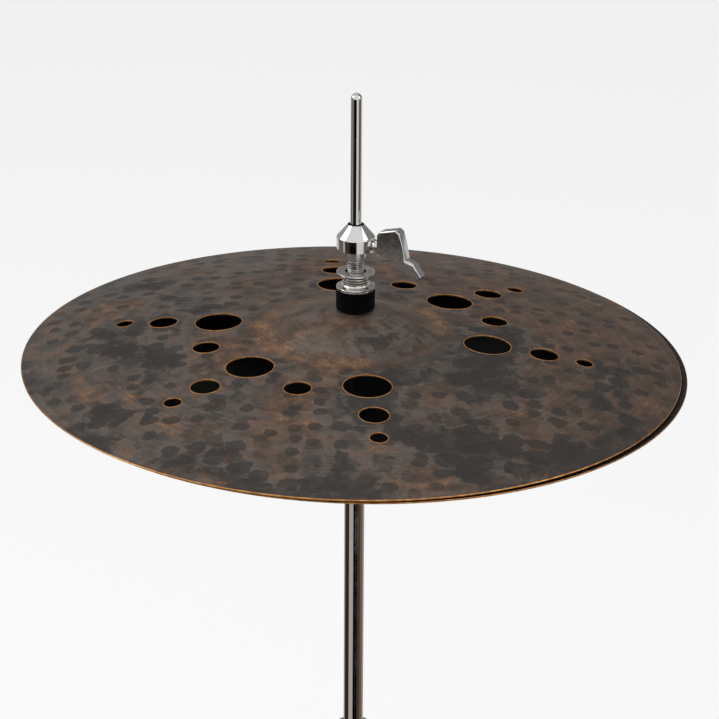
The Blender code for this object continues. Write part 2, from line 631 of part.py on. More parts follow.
def build_tripod(make):
    """The sliding collar, the fixed collar, and three legs with their braces."""
    collar(make, "brace_collar", None, BRACE_PIVOT_Z, 11 * MM, 17.5 * MM,
           (2.8 * MM, 5.2 * MM, 15 * MM), 2.3 * MM)
    sliding = collar(make, "leg_collar", "collar_pivot", LEG_PIVOT_Z, 12 * MM, 18 * MM,
                     (9.4 * MM, 12.4 * MM, 12 * MM), 2.8 * MM)
    out = radial(COLLAR_WING_AZIMUTH)
    at = Vector((0, 0, LEG_PIVOT_Z))
    hole = make.cylinders("collar_wing_hole", [(2.8 * MM, at, at + out * 30 * MM)])
    boolean(sliding, hole, "DIFFERENCE")
    wing_bolt(make, "collar_wing_bolt", "chrome", "collar_wing_pivot", at, COLLAR_WING_AZIMUTH,
              BASE_TUBE_R + 0.4 * MM, 23 * MM, butterfly_outline(24 * MM), 6 * MM)
    for number, azimuth in enumerate(LEG_AZIMUTHS, start=1):
        build_leg(make, number, azimuth)


def build_leg(make, number, azimuth):
    """One leg with its pins, its rubber foot and its brace."""
    out = radial(azimuth)
    around = tangent(azimuth)
    pivot = out * PIVOT_R + UP * LEG_PIVOT_Z
    foot = out * FOOT_CENTRE_R + UP * FOOT_R
    along = (foot - pivot).normalized()
    length = (foot - pivot).length
    place = axes_matrix(pivot, around, along)
    half, strip, top, end = 9 * MM, 3 * MM, -9 * MM, length - FOOT_R - GAP
    inner = half - strip
    outer_ring = [(-half, top), (half, top), (half, end), (-half, end)]
    slot_ring = [(-inner, 28 * MM), (inner, 28 * MM), (inner, 405 * MM), (-inner, 405 * MM)]
    leg = make.plate(f"leg_{number}", [outer_ring, slot_ring], 16 * MM, "chrome",
                     f"leg_pivot_{number}", place)
    hole = make.cylinders(f"leg_{number}_pin_hole", [
        (2.8 * MM, pivot - around * 20 * MM, pivot + around * 20 * MM)])
    boolean(leg, hole, "DIFFERENCE")
    make.cylinders(f"leg_pin_{number}", [
        (2.5 * MM, pivot - around * 13.5 * MM, pivot + around * 13.5 * MM)], "steel",
        "collar_pivot")
    make.ball(f"foot_{number}", FOOT_R, foot, "rubber", f"leg_pivot_{number}")
    joint = pivot + along * BRACE_ON_LEG
    low = out * PIVOT_R + UP * BRACE_PIVOT_Z
    brace_along = (joint - low).normalized()
    brace_length = (joint - low).length
    brace_place = axes_matrix(low, brace_along, around.cross(brace_along))
    body = stadium(brace_length / 2, 6 * MM, brace_length / 2)
    eyes = [circle(2.3 * MM), circle(2.8 * MM, brace_length)]
    make.plate(f"brace_{number}", [body] + eyes, 5 * MM, "chrome", f"brace_pivot_{number}",
               brace_place)
    make.cylinders(f"brace_pin_{number}", [
        (2 * MM, low - around * 6.5 * MM, low + around * 6.5 * MM)], "steel")


def add_pivots(make):
    """One empty for each moving body, on its joint's axis."""
    make.pivot("height_pivot", (0, 0, BASE_TUBE_TOP))
    make.pivot("clamp_wing_pivot", (CLAMP_BOLT_X, 0, CLAMP_Z))
    make.pivot("tilt_screw_pivot", (17.5 * MM, 0, RIM_Z - 60 * MM))
    make.pivot("bottom_cymbal_pivot", bottom_cymbal_place().translation)
    make.pivot("rod_pivot")
    make.pivot("clutch_pivot", (0, 0, RIM_Z + 60 * MM))
    make.pivot("upper_nut_pivot", (0, 0, RIM_Z + 56 * MM))
    make.pivot("lower_nut_pivot", (0, 0, RIM_Z + 50 * MM))
    make.pivot("bottom_nut_pivot", (0, 0, RIM_Z + 20 * MM))
    make.pivot("clutch_wing_pivot", (0, 0, CLUTCH_WING_Z))
    make.pivot("top_cymbal_pivot", top_cymbal_place().translation)
    make.pivot("pedal_pivot", HINGE)
    make.pivot("collar_pivot", (0, 0, LEG_PIVOT_Z))
    make.pivot("collar_wing_pivot", (0, 0, LEG_PIVOT_Z))
    for number, azimuth in enumerate(LEG_AZIMUTHS, start=1):
        at = radial(azimuth) * PIVOT_R
        make.pivot(f"leg_pivot_{number}", at + UP * LEG_PIVOT_Z)
        make.pivot(f"brace_pivot_{number}", at + UP * BRACE_PIVOT_Z)


def shade_round_parts(make):
    """Shade smoothly, with the real edges kept sharp."""
    for obj in make.parts.objects:
        if obj.type == "MESH" and obj.data.polygons:
            obj.data.shade_smooth()
            obj.data.set_sharp_from_angle(angle=math.radians(35))


def main():
    clear_scene()
    make = Builder()
    add_pivots(make)
    build_pedal(make)
    build_tubes(make)
    build_tripod(make)
    build_rod(make)
    build_seat(make)
    build_clutch(make)
    build_cymbals(make)
    shade_round_parts(make)


main()
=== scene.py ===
"""The looks of a hi-hat: hammered and patinated cymbals, a chromed clutch and a folding stand.

Everything is in metres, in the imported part's own frame. Each sub-assembly is a class that builds
its pieces on the frame's bodies and dresses them.
"""
import json
import logging
import math
from dataclasses import dataclass, field
from enum import Enum

import bmesh
import bpy
from mathutils import Matrix, Vector, noise


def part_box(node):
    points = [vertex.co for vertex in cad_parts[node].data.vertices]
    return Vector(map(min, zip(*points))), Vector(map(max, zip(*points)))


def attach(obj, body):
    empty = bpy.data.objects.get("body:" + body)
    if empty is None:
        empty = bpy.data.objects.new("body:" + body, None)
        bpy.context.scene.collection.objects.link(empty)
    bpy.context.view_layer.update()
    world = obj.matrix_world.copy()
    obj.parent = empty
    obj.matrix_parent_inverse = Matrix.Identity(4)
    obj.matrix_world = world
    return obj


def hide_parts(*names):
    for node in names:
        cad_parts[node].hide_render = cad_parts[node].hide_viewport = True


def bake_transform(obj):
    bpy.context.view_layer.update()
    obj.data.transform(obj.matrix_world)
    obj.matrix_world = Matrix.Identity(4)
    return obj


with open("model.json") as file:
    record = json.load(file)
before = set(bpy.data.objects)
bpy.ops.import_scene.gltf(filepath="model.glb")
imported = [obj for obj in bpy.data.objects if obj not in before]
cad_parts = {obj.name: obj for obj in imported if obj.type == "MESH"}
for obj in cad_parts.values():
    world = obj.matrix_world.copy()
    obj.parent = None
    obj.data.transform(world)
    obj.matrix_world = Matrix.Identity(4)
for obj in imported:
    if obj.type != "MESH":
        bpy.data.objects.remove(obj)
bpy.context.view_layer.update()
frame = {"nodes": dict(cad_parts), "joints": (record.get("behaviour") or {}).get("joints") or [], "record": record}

log = logging.getLogger("hi_hat")

MM = 0.001
UP = Vector((0, 0, 1))
JOINTS = {joint["name"]: joint for joint in frame["joints"]}
BODY_OF = {node: body for body, nodes in frame["record"]["behaviour"]["bodies"].items()
           for node in nodes}
RIM_CENTRE = Vector(JOINTS["upper_cymbal_spin"]["pos_m"])
CYMBAL_AXIS = Vector(JOINTS["upper_cymbal_spin"]["axis"])
RIM_Z = RIM_CENTRE.z

Profile = list[tuple[float, float]]
Tree = bpy.types.NodeTree
Node = bpy.types.Node
Socket = bpy.types.NodeSocket
Shape = bmesh.types.BMesh


# ---------------------------------------------------------------- materials

def linear(hex_colour: str) -> tuple[float, float, float, float]:
    """Turn an sRGB hex colour into linear RGBA.

    Args:
        hex_colour: a colour such as "#a1b2c3".

    Returns:
        The linear colour, with an alpha of 1.
    """
    channels = []
    for start in (1, 3, 5):
        value = int(hex_colour[start:start + 2], 16) / 255
        channels.append(value / 12.92 if value <= 0.04045 else ((value + 0.055) / 1.055) ** 2.4)
    return (channels[0], channels[1], channels[2], 1.0)


def add_node(tree: Tree, kind: str, inputs: dict | None = None,
             **settings: object) -> Node:
    """Add a node, with its settings, values and links.

    Args:
        tree: the node tree that gets the node.
        kind: the node's type name, without its leading "ShaderNode".
        inputs: for a socket's name or number, a value or the output that feeds it.
        settings: the node's own properties.

    Returns:
        The new node.
    """
    node = tree.nodes.new("ShaderNode" + kind)
    for name, value in settings.items():
        setattr(node, name, value)
    for socket, value in (inputs or {}).items():
        if isinstance(value, Socket):
            tree.links.new(value, node.inputs[socket])
        else:
            node.inputs[socket].default_value = value
    return node


@dataclass(frozen=True)
class Finish:
    """A surface: what it is called, and how its nodes are built."""

    name: str

    def dress(self, tree: Tree, shader: Node) -> None:
        """Build the finish's nodes.

        Args:
            tree: the material's node tree.
            shader: its Principled BSDF.
        """
        raise NotImplementedError

    def material(self) -> bpy.types.Material:
        """Return this finish's material, made the first time that it is asked for."""
        existing = bpy.data.materials.get(self.name)
        if existing is not None:
            return existing
        material = bpy.data.materials.new(self.name)
        material.use_nodes = True
        tree = material.node_tree
        self.dress(tree, tree.nodes["Principled BSDF"])
        return material


def object_noise(tree: Tree, size: float, detail: float = 3.0,
                 stretch: tuple[float, float, float] = (1, 1, 1)) -> Node:
    """Add noise on Object coordinates, with grains of a real size.

    Args:
        tree: the node tree.
        size: the width of a grain, in metres.
        detail: the number of finer octaves.
        stretch: how much finer the grain is along each axis.

    Returns:
        The noise node.
    """
    coords = add_node(tree, "TexCoord")
    mapping = add_node(tree, "Mapping", {"Vector": coords.outputs["Object"], "Scale": stretch})
    return add_node(tree, "TexNoise", {"Vector": mapping.outputs[0], "Scale": 1 / size,
                                       "Detail": detail})


def spread(tree: Tree, value: Socket, low: float, high: float,
           out_low: float, out_high: float) -> Socket:
    """Map a value smoothly from one range to another.

    Args:
        tree: the node tree.
        value: the socket to map.
        low: where the input range starts.
        high: where it ends.
        out_low: the output at the start.
        out_high: the output at the end.

    Returns:
        The mapped value's socket.
    """
    node = add_node(tree, "MapRange", {"Value": value, "From Min": low, "From Max": high,
                                       "To Min": out_low, "To Max": out_high},
                    interpolation_type="SMOOTHSTEP")
    return node.outputs[0]


def blend_colours(tree: Tree, share: object, first: object, second: object,
                  mode: str = "MIX") -> Socket:
    """Mix two colours.

    Args:
        tree: the node tree.
        share: how much of the second, a value or a socket.
        first: a linear colour or a socket.
        second: a linear colour or a socket.
        mode: the blend mode.

    Returns:
        The mixed colour's socket.
    """
    node = add_node(tree, "Mix", {0: share, 6: first, 7: second}, data_type="RGBA",
                    blend_type=mode)
    return node.outputs[2]


def calculate(tree: Tree, operation: str, first: object,
              second: object = 0.0) -> Socket:
    """Add a Math node and return its value's socket."""
    return add_node(tree, "Math", {0: first, 1: second}, operation=operation).outputs[0]


def press_relief(tree: Tree, shader: Node, height: Socket, strength: float,
                 depth: float) -> None:
    """Press a height into a shader's surface.

    Args:
        tree: the node tree.
        shader: the Principled BSDF.
        height: the relief's height, from 0 to 1.
        strength: how strongly it shows.
        depth: the real depth of the relief, in metres.
    """
    bump = add_node(tree, "Bump", {"Height": height, "Strength": strength, "Distance": depth})
    tree.links.new(bump.outputs[0], shader.inputs["Normal"])


def paint(tree: Tree, shader: Node, cloud: Socket, low: float, high: float, dark: str,
          light: str) -> None:
    """Colour a shader from a dark to a light tone, by a cloud of noise.

    Args:
        tree: the node tree.
        shader: the Principled BSDF.
        cloud: the noise.
        low: the noise that gives the dark tone.
        high: the noise that gives the light tone.
        dark: the dark tone, in hex.
        light: the light tone, in hex.
    """
    shade = spread(tree, cloud, low, high, 0.0, 1.0)
    colour = blend_colours(tree, shade, linear(dark), linear(light))
    tree.links.new(colour, shader.inputs["Base Color"])


@dataclass(frozen=True)
class ChromePlate(Finish):
    """Chromium plate over polished steel: a sharp mirror, with faint handling haze."""

    colour: str = "#d2d1d0"
    polish: float = 0.07
    haze: float = 0.06
    haze_size: float = 9 * MM
    ripple: float = 0.0

    def dress(self, tree: Tree, shader: Node) -> None:
        """Build the plate: a metal whose gloss varies with the haze."""
        shader.inputs["Base Color"].default_value = linear(self.colour)
        shader.inputs["Metallic"].default_value = 1.0
        cloud = object_noise(tree, self.haze_size, 5.0)
        gloss = spread(tree, cloud.outputs[0], 0.35, 0.75, self.polish, self.polish + self.haze)
        tree.links.new(gloss, shader.inputs["Roughness"])
        if self.ripple > 0:
            wave = object_noise(tree, 3 * MM, 1.0)
            press_relief(tree, shader, wave.outputs[0], self.ripple, 0.3 * MM)


@dataclass(frozen=True)
class TurnedSteel(Finish):
    """Nickel-plated steel left from the lathe: satin, with fine rings from the tool.

    The real rings are about 0.1 mm apart. They are drawn at 0.5 mm, so that they show.
    """

    colour: str = "#e6e3df"
    ring: float = 0.5 * MM

    def dress(self, tree: Tree, shader: Node) -> None:
        """Build the metal and its tool rings."""
        shader.inputs["Metallic"].default_value = 1.0
        rings = object_noise(tree, self.ring, 2.0, (0.02, 0.02, 1.0))
        cloud = object_noise(tree, 6 * MM, 4.0)
        paint(tree, shader, cloud.outputs[0], 0.3, 0.7, "#c4c1bc", self.colour)
        gloss = spread(tree, rings.outputs[0], 0.3, 0.7, 0.12, 0.26)
        tree.links.new(gloss, shader.inputs["Roughness"])
        press_relief(tree, shader, rings.outputs[0], 0.25, 0.05 * MM)


@dataclass(frozen=True)
class PressedFelt(Finish):
    """Pressed wool felt, dyed black: no gloss, a soft sheen and a tangle of short fibres."""

    fibre: float = 0.5 * MM

    def dress(self, tree: Tree, shader: Node) -> None:
        """Build the felt from two layers of fibre noise."""
        fibres = object_noise(tree, self.fibre, 6.0)
        clumps = object_noise(tree, 2.5 * MM, 3.0)
        both = calculate(tree, "MULTIPLY", fibres.outputs[0], clumps.outputs[0])
        paint(tree, shader, both, 0.12, 0.4, "#010101", "#070606")
        shader.inputs["Roughness"].default_value = 0.95
        shader.inputs["Specular IOR Level"].default_value = 0.06
        shader.inputs["Sheen Weight"].default_value = 0.015
        shader.inputs["Sheen Roughness"].default_value = 0.5
        press_relief(tree, shader, both, 0.9, 0.5 * MM)


@dataclass(frozen=True)
class PowderCoat(Finish):
    """Black powder coat on cast iron and plate: semi-gloss with orange peel and worn specks."""

    peel: float = 1.2 * MM

    def dress(self, tree: Tree, shader: Node) -> None:
        """Build the coat."""
        peel = object_noise(tree, self.peel, 2.0)
        dust = object_noise(tree, 22 * MM, 5.0)
        paint(tree, shader, dust.outputs[0], 0.35, 0.75, "#161617", "#2a2a2b")
        gloss = spread(tree, dust.outputs[0], 0.3, 0.7, 0.34, 0.5)
        tree.links.new(gloss, shader.inputs["Roughness"])
        press_relief(tree, shader, peel.outputs[0], 0.35, 0.15 * MM)


@dataclass(frozen=True)
class Moulded(Finish):
    """Moulded nylon or rubber: matt, with a fine spark-eroded grain from the mould."""

    dark: str = "#101010"
    light: str = "#1e1e1f"
    grain: float = 0.6 * MM
    matt: float = 0.6

    def dress(self, tree: Tree, shader: Node) -> None:
        """Build the moulding."""
        grain = object_noise(tree, self.grain, 3.0)
        bloom = object_noise(tree, 12 * MM, 4.0)
        paint(tree, shader, bloom.outputs[0], 0.35, 0.7, self.dark, self.light)
        gloss = spread(tree, grain.outputs[0], 0.3, 0.7, self.matt - 0.08, self.matt + 0.1)
        tree.links.new(gloss, shader.inputs["Roughness"])
        press_relief(tree, shader, grain.outputs[0], 0.4, 0.1 * MM)


@dataclass(frozen=True)
class BareBronze(Finish):
    """Bell bronze where a cutter has bared it: golden tan, dulled a little by handling."""

    def dress(self, tree: Tree, shader: Node) -> None:
        """Build the bared metal."""
        stain = object_noise(tree, 4 * MM, 4.0)
        paint(tree, shader, stain.outputs[0], 0.35, 0.7, "#a9733f", "#d39a5a")
        shader.inputs["Metallic"].default_value = 0.8
        shader.inputs["Roughness"].default_value = 0.4


@dataclass(frozen=True)
class OvenScale(Finish):
    """The bottom cymbal's inside, seen through the top one's holes: painted shade, near-black bronze, matt."""

    def dress(self, tree: Tree, shader: Node) -> None:
        """Build the painted shade: near-black flakes with a little relief."""
        flakes = object_noise(tree, 3 * MM, 5.0)
        paint(tree, shader, flakes.outputs[0], 0.35, 0.7, "#141211", "#2b2521")
        shader.inputs["Metallic"].default_value = 0.3
        shader.inputs["Roughness"].default_value = 0.7
        press_relief(tree, shader, flakes.outputs[0], 0.4, 0.2 * MM)


@dataclass(frozen=True)
class AgedBronze(Finish):
    """Hammered bell bronze under a dark oven-scale patina.

    Warm grey-brown oxide, slate where it is thickest and copper tan where it is thin. The large
    oxide patches also gather towards the front, the camera's side, as painted shade. Round hammer
    marks about 8 mm across, 14 mm apart, hold darker oxide. Faint rings run round the axis from
    the lathe. The bell is smoother, with a tan band where it meets the bow.
    """

    centre: tuple[float, float, float]
    axis_tilt: float
    mark_pitch: float = 14.0 * MM
    bell_radius: float = 56 * MM
    edge_radius: float = 203 * MM
    worn_side: tuple[float, float, float] = (-0.14, -0.3, 0.0)
    # Painted shade: the large oxide patches rise towards the front, the camera's side, and darken it.
    thick_side: tuple[float, float, float] = (-0.12, -0.55, 0.0)
    grey_side: tuple[float, float, float] = (-0.45, 0.1, 0.0)

    def dress(self, tree: Tree, shader: Node) -> None:
        """Build the patina in layers."""
        place = self.own_coordinates(tree)
        radius = add_node(tree, "VectorMath", {0: self.flattened(tree, place)},
                          operation="LENGTH").outputs["Value"]
        warped = self.warped(tree, place)
        # The large patches lean to the front as painted shade: more slate, grown dark marks and less copper there.
        clouds_with_painted_shade = calculate(tree, "ADD", self.layer(tree, warped, 58 * MM, 5.0, 0.6),
                           self.lean(tree, place, self.thick_side))
        mottle = self.layer(tree, warped, 15 * MM, 7.0, 0.68)
        speckle = self.layer(tree, place, 1.1 * MM, 3.0, 0.7)
        lathe = self.lathe_rings(tree, place, radius)
        marks, mark_shade = self.hammer_marks(tree, place, radius, clouds_with_painted_shade)
        colour = self.oxide(tree, place, clouds_with_painted_shade, mottle)
        colour = self.copper(tree, colour, place, clouds_with_painted_shade, mottle, speckle, radius)
        dark = blend_colours(tree, mark_shade, colour, linear("#34302e"))
        streak = spread(tree, lathe, 0.25, 0.75, 0.82, 1.18)
        grain = spread(tree, speckle, 0.2, 0.8, 0.8, 1.2)
        tone = calculate(tree, "MULTIPLY", streak, grain)
        toned = add_node(tree, "VectorMath", {0: dark, 3: tone}, operation="SCALE").outputs[0]
        tree.links.new(toned, shader.inputs["Base Color"])
        shader.inputs["Metallic"].default_value = 0.55
        gloss = calculate(tree, "ADD", spread(tree, mottle, 0.3, 0.7, 0.42, 0.54),
                          spread(tree, lathe, 0.3, 0.7, -0.04, 0.05))
        tree.links.new(gloss, shader.inputs["Roughness"])
        self.relief(tree, shader, marks, lathe, speckle, mottle)

    def own_coordinates(self, tree: Tree) -> Socket:
        """Return coordinates whose Z is the cymbal's own axis."""
        coords = add_node(tree, "TexCoord")
        shift = add_node(tree, "VectorMath", {0: coords.outputs["Object"], 1: self.centre},
                         operation="SUBTRACT")
        turn = add_node(tree, "Mapping", {"Vector": shift.outputs[0],
                                          "Rotation": (0, -self.axis_tilt, 0)})
        return turn.outputs[0]

    def flattened(self, tree: Tree,
                  place: Socket) -> Socket:
        """Return the coordinates without their height."""
        return add_node(tree, "VectorMath", {0: place, 1: (1, 1, 0)},
                        operation="MULTIPLY").outputs[0]

    def warped(self, tree: Tree,
               place: Socket) -> Socket:
        """Return coordinates pushed about by a few millimetres, for ragged outlines."""
        push = add_node(tree, "TexNoise", {"Vector": place, "Scale": 1 / (11 * MM),
                                           "Detail": 4.0})
        offset = add_node(tree, "VectorMath", {0: push.outputs["Color"], 1: (0.5, 0.5, 0.5)},
                          operation="SUBTRACT")
        scaled = add_node(tree, "VectorMath", {0: offset.outputs[0], 3: 14 * MM},
                          operation="SCALE")
        return add_node(tree, "VectorMath", {0: place, 1: scaled.outputs[0]},
                        operation="ADD").outputs[0]

    def layer(self, tree: Tree, place: Socket, size: float,
              detail: float, roughness: float) -> Socket:
        """Return one layer of noise with grains of a real size."""
        return add_node(tree, "TexNoise", {"Vector": place, "Scale": 1 / size, "Detail": detail,
                                           "Roughness": roughness}).outputs[0]

    def lathe_rings(self, tree: Tree, place: Socket,
                    radius: Socket) -> Socket:
        """Return streaks about 2 mm wide that run round the axis and fade in and out."""
        around = add_node(tree, "VectorMath", {0: self.flattened(tree, place)},
                          operation="NORMALIZE")
        split = add_node(tree, "SeparateXYZ", {0: around.outputs[0]})
        rings = calculate(tree, "MULTIPLY", radius, 1 / (2 * MM))
        vector = add_node(tree, "CombineXYZ", {0: rings, 1: split.outputs[0],
                                               2: split.outputs[1]})
        return add_node(tree, "TexNoise", {"Vector": vector.outputs[0], "Scale": 1.0,
                                           "Detail": 5.0, "Roughness": 0.6}).outputs[0]

    def hammer_marks(self, tree: Tree, place: Socket,
                     radius: Socket, clouds_with_painted_shade: Socket
                     ) -> tuple[Socket, Socket]:
        """Return the marks' relief, and how dark each one is.

        Where the oxide is thick, and towards the front where the large patches carry painted shade,
        the dark marks grow until they run together.
        """
        flat = self.flattened(tree, place)
        wobble = add_node(tree, "TexNoise", {"Vector": flat, "Scale": 1 / (5 * MM),
                                             "Detail": 3.0})
        centred = add_node(tree, "VectorMath", {0: wobble.outputs["Color"],
                                                1: (0.5, 0.5, 0.5)}, operation="SUBTRACT")
        small = add_node(tree, "VectorMath", {0: centred.outputs[0], 3: 3.5 * MM},
                         operation="SCALE")
        bent = add_node(tree, "VectorMath", {0: flat, 1: small.outputs[0]}, operation="ADD")
        cells = add_node(tree, "TexVoronoi", {"Vector": bent.outputs[0],
                                              "Scale": 1 / self.mark_pitch,
                                              "Randomness": 0.78}, voronoi_dimensions="2D")
        on_bow = spread(tree, radius, self.bell_radius, self.bell_radius + 16 * MM, 0.12, 1.0)
        off_edge = spread(tree, radius, self.edge_radius - 14 * MM, self.edge_radius, 1.0, 0.5)
        zone = calculate(tree, "MULTIPLY", on_bow, off_edge)
        hollow = spread(tree, cells.outputs["Distance"], 0.2, 0.38, 1.0, 0.0)
        marks = calculate(tree, "MULTIPLY", hollow, zone)
        growth = spread(tree, clouds_with_painted_shade, 0.52, 0.64, 0.0, 0.3)
        stained = spread(tree, calculate(tree, "SUBTRACT", cells.outputs["Distance"], growth),
                         0.26, 0.33, 1.0, 0.0)
        pick = add_node(tree, "SeparateColor", {0: cells.outputs["Color"]})
        depth = spread(tree, pick.outputs[0], 0.1, 0.7, 0.08, 0.72)
        deeper = calculate(tree, "MAXIMUM", depth, calculate(tree, "MULTIPLY", growth, 2.2))
        shade = calculate(tree, "MULTIPLY", stained, deeper)
        return marks, calculate(tree, "MULTIPLY", shade, zone)

    def lean(self, tree: Tree, place: Socket,
             side: tuple[float, float, float]) -> Socket:
        """Return a value that rises towards one side of the cymbal."""
        return add_node(tree, "VectorMath", {0: place, 1: side},
                        operation="DOT_PRODUCT").outputs["Value"]

    def oxide(self, tree: Tree, place: Socket,
              clouds_with_painted_shade: Socket, mottle: Socket
              ) -> Socket:
        """Return the oxide: grey film over brown, in ragged patches, with slate that painted shade pushes towards
        the front.
        """
        patches = calculate(tree, "ADD", calculate(tree, "MULTIPLY", clouds_with_painted_shade, 0.65),
                            calculate(tree, "MULTIPLY", mottle, 0.35))
        leaning = calculate(tree, "ADD", patches, self.lean(tree, place, self.grey_side))
        grey = spread(tree, leaning, 0.45, 0.53, 0.0, 1.0)
        brown = blend_colours(tree, spread(tree, mottle, 0.35, 0.65, 0.0, 1.0),
                              linear("#54453a"), linear("#705b4c"))
        film = blend_colours(tree, spread(tree, mottle, 0.35, 0.65, 0.0, 1.0),
                             linear("#585049"), linear("#746a62"))
        slate = spread(tree, patches, 0.55, 0.6, 0.0, 0.8)
        return blend_colours(tree, slate, blend_colours(tree, grey, brown, film),
                             linear("#38332f"))

    def copper(self, tree: Tree, colour: Socket,
               place: Socket, clouds_with_painted_shade: Socket,
               mottle: Socket, speckle: Socket,
               radius: Socket) -> Socket:
        """Return the oxide with copper tan where it is thin, most on the worn side and least towards the front,
        where the oxide carries painted shade.
        """
        ragged = calculate(tree, "ADD", calculate(tree, "MULTIPLY", mottle, 0.92),
                           calculate(tree, "MULTIPLY", speckle, 0.13))
        thin = calculate(tree, "SUBTRACT", ragged, calculate(tree, "MULTIPLY", clouds_with_painted_shade, 0.62))
        off_bell = calculate(tree, "ABSOLUTE", calculate(tree, "SUBTRACT", radius,
                                                         self.bell_radius))
        band = spread(tree, off_bell, 0.0, 13 * MM, 0.15, 0.0)
        side = self.lean(tree, place, self.worn_side)
        total = calculate(tree, "ADD", calculate(tree, "ADD", thin, band), side)
        halo = spread(tree, total, 0.2, 0.37, 0.0, 0.7)
        share = spread(tree, total, 0.28, 0.46, 0.0, 0.85)
        warm = blend_colours(tree, halo, colour, linear("#6e5241"))
        tan = blend_colours(tree, spread(tree, speckle, 0.35, 0.65, 0.0, 1.0),
                            linear("#84644a"), linear("#a17c5a"))
        return blend_colours(tree, share, warm, tan)

    def relief(self, tree: Tree, shader: Node,
               marks: Socket, lathe: Socket,
               speckle: Socket, mottle: Socket) -> None:
        """Press in the marks, and lay lathe rings and scale over them."""
        hollow = add_node(tree, "Bump", {"Height": marks, "Strength": 0.5,
                                         "Distance": 0.22 * MM}, invert=True)
        waves = add_node(tree, "Bump", {"Height": mottle, "Strength": 0.5,
                                        "Distance": 0.5 * MM, "Normal": hollow.outputs[0]})
        rings = add_node(tree, "Bump", {"Height": lathe, "Strength": 0.35,
                                        "Distance": 0.12 * MM, "Normal": waves.outputs[0]})
        scale = add_node(tree, "Bump", {"Height": speckle, "Strength": 0.3,
                                        "Distance": 0.08 * MM, "Normal": rings.outputs[0]})
        tree.links.new(scale.outputs[0], shader.inputs["Normal"])


CHROME = ChromePlate("chrome_plated_steel")
CAST_CHROME = ChromePlate("chrome_plated_zinc_casting", "#c9c8c7", 0.1, 0.1, 5 * MM, 0.12)
STEEL = TurnedSteel("turned_nickel_plated_steel")
FELT = PressedFelt("pressed_black_wool_felt")
POWDER = PowderCoat("black_powder_coat")
NYLON = Moulded("moulded_black_nylon", "#121212", "#1d1d1e", 0.8 * MM, 0.45)
RUBBER = Moulded("moulded_black_rubber", "#0d0d0d", "#1a1a1a", 0.6 * MM, 0.75)
# Near-black painted shade for bores and the nuts' grooves, built as a matt moulding.
PAINTED_SHADE_BORE = Moulded("painted_shade_in_bores_and_grooves", "#020202", "#0a0909", 1.0 * MM, 0.6)
BARE_EDGE = BareBronze("bared_bell_bronze")
PAINTED_SHADE_INSIDE = OvenScale("painted_shade_inside_bottom_cymbal")


# ---------------------------------------------------------------- shaping

def lathe(shape: Shape, profile: Profile, steps: int, place: Matrix | None = None,
          surface: int = 0) -> None:
    """Spin a profile round Z into a closed body, and add it to a shape.

    Args:
        shape: the bmesh that gets the body.
        profile: (radius, height) points; one that misses the axis at its ends is closed.
        steps: the number of steps round the axis.
        place: where the turned body goes.
        surface: the material index of its faces.
    """
    turned = bmesh.new()
    points = [turned.verts.new((max(r, 0.0), 0, z)) for r, z in profile]
    for first, second in zip(points, points[1:]):
        turned.edges.new((first, second))
    if profile[0][0] > 0:
        turned.edges.new((points[-1], points[0]))
    bmesh.ops.spin(turned, geom=turned.verts[:] + turned.edges[:], cent=(0, 0, 0),
                   axis=(0, 0, 1), angle=2 * math.pi, steps=steps, use_merge=True)
    bmesh.ops.remove_doubles(turned, verts=turned.verts, dist=0.000002)
    bmesh.ops.recalc_face_normals(turned, faces=turned.faces)
    for face in turned.faces:
        face.material_index = surface
    if place is not None:
        turned.transform(place)
    add_shape(shape, turned)


def mesh_of(name: str, shape: Shape) -> bpy.types.Mesh:
    """Return a shape as a new mesh; the shape is freed."""
    mesh = bpy.data.meshes.new(name)
    shape.to_mesh(mesh)
    shape.free()
    return mesh


def in_scene(name: str, data: bpy.types.ID) -> bpy.types.Object:
    """Return a new object of a mesh, a light or a camera, linked to the scene."""
    made = bpy.data.objects.new(name, data)
    bpy.context.scene.collection.objects.link(made)
    return made


def add_shape(shape: Shape, other: Shape) -> None:
    """Move one bmesh's faces into another."""
    mesh = mesh_of("moved", other)
    shape.from_mesh(mesh)
    bpy.data.meshes.remove(mesh)


def round_edges(shape: Shape, width: float, segments: int = 2,
                sharper_than: float = 28.0) -> None:
    """Bevel the edges where two faces meet at more than a given angle.

    Args:
        shape: the bmesh to work on.
        width: the bevel's width, in metres.
        segments: the number of strips in the bevel.
        sharper_than: the angle, in degrees.
    """
    limit = math.radians(sharper_than)
    edges = [edge for edge in shape.edges
             if len(edge.link_faces) == 2 and edge.calc_face_angle(0.0) > limit]
    bmesh.ops.bevel(shape, geom=edges, offset=width, offset_type="OFFSET", segments=segments,
                    profile=0.5, affect="EDGES", clamp_overlap=True, material=-1)


def finish_piece(name: str, shape: Shape, finish: Finish, node: str | None = None,
                 body: str | None = None, other_finishes: tuple[Finish, ...] = (),
                 smooth_below: float = 20.0, flat_plates: bool = True,
                 rides: bool = True) -> bpy.types.Object:
    """Make a shape a finished piece that rides on its body.

    Args:
        name: the piece's name.
        shape: its bmesh, which is freed.
        finish: its finish.
        node: the CAD node that it stands for.
        body: the body that it rides on, where it stands for no node.
        other_finishes: the finishes of the faces with material index 1 and up.
        smooth_below: edges flatter than this angle, in degrees, are shaded smooth.
        flat_plates: True where faces with more than four sides are flat plates.
        rides: False for a piece that rides on no body.

    Returns:
        The new object.
    """
    mesh = mesh_of(name, shape)
    for slot, used in enumerate((finish, *other_finishes)):
        if slot < len(mesh.materials):
            mesh.materials[slot] = used.material()
        else:
            mesh.materials.append(used.material())
    mesh.shade_smooth()
    mesh.set_sharp_from_angle(angle=math.radians(smooth_below))
    for polygon in mesh.polygons:
        if flat_plates and len(polygon.vertices) > 4:
            polygon.use_smooth = False
    piece = in_scene(name, mesh)
    if rides:
        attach(piece, body or BODY_OF[node])
    if node is not None:
        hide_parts(node)
    log.info("%s: %d faces", name, len(mesh.polygons))
    return piece


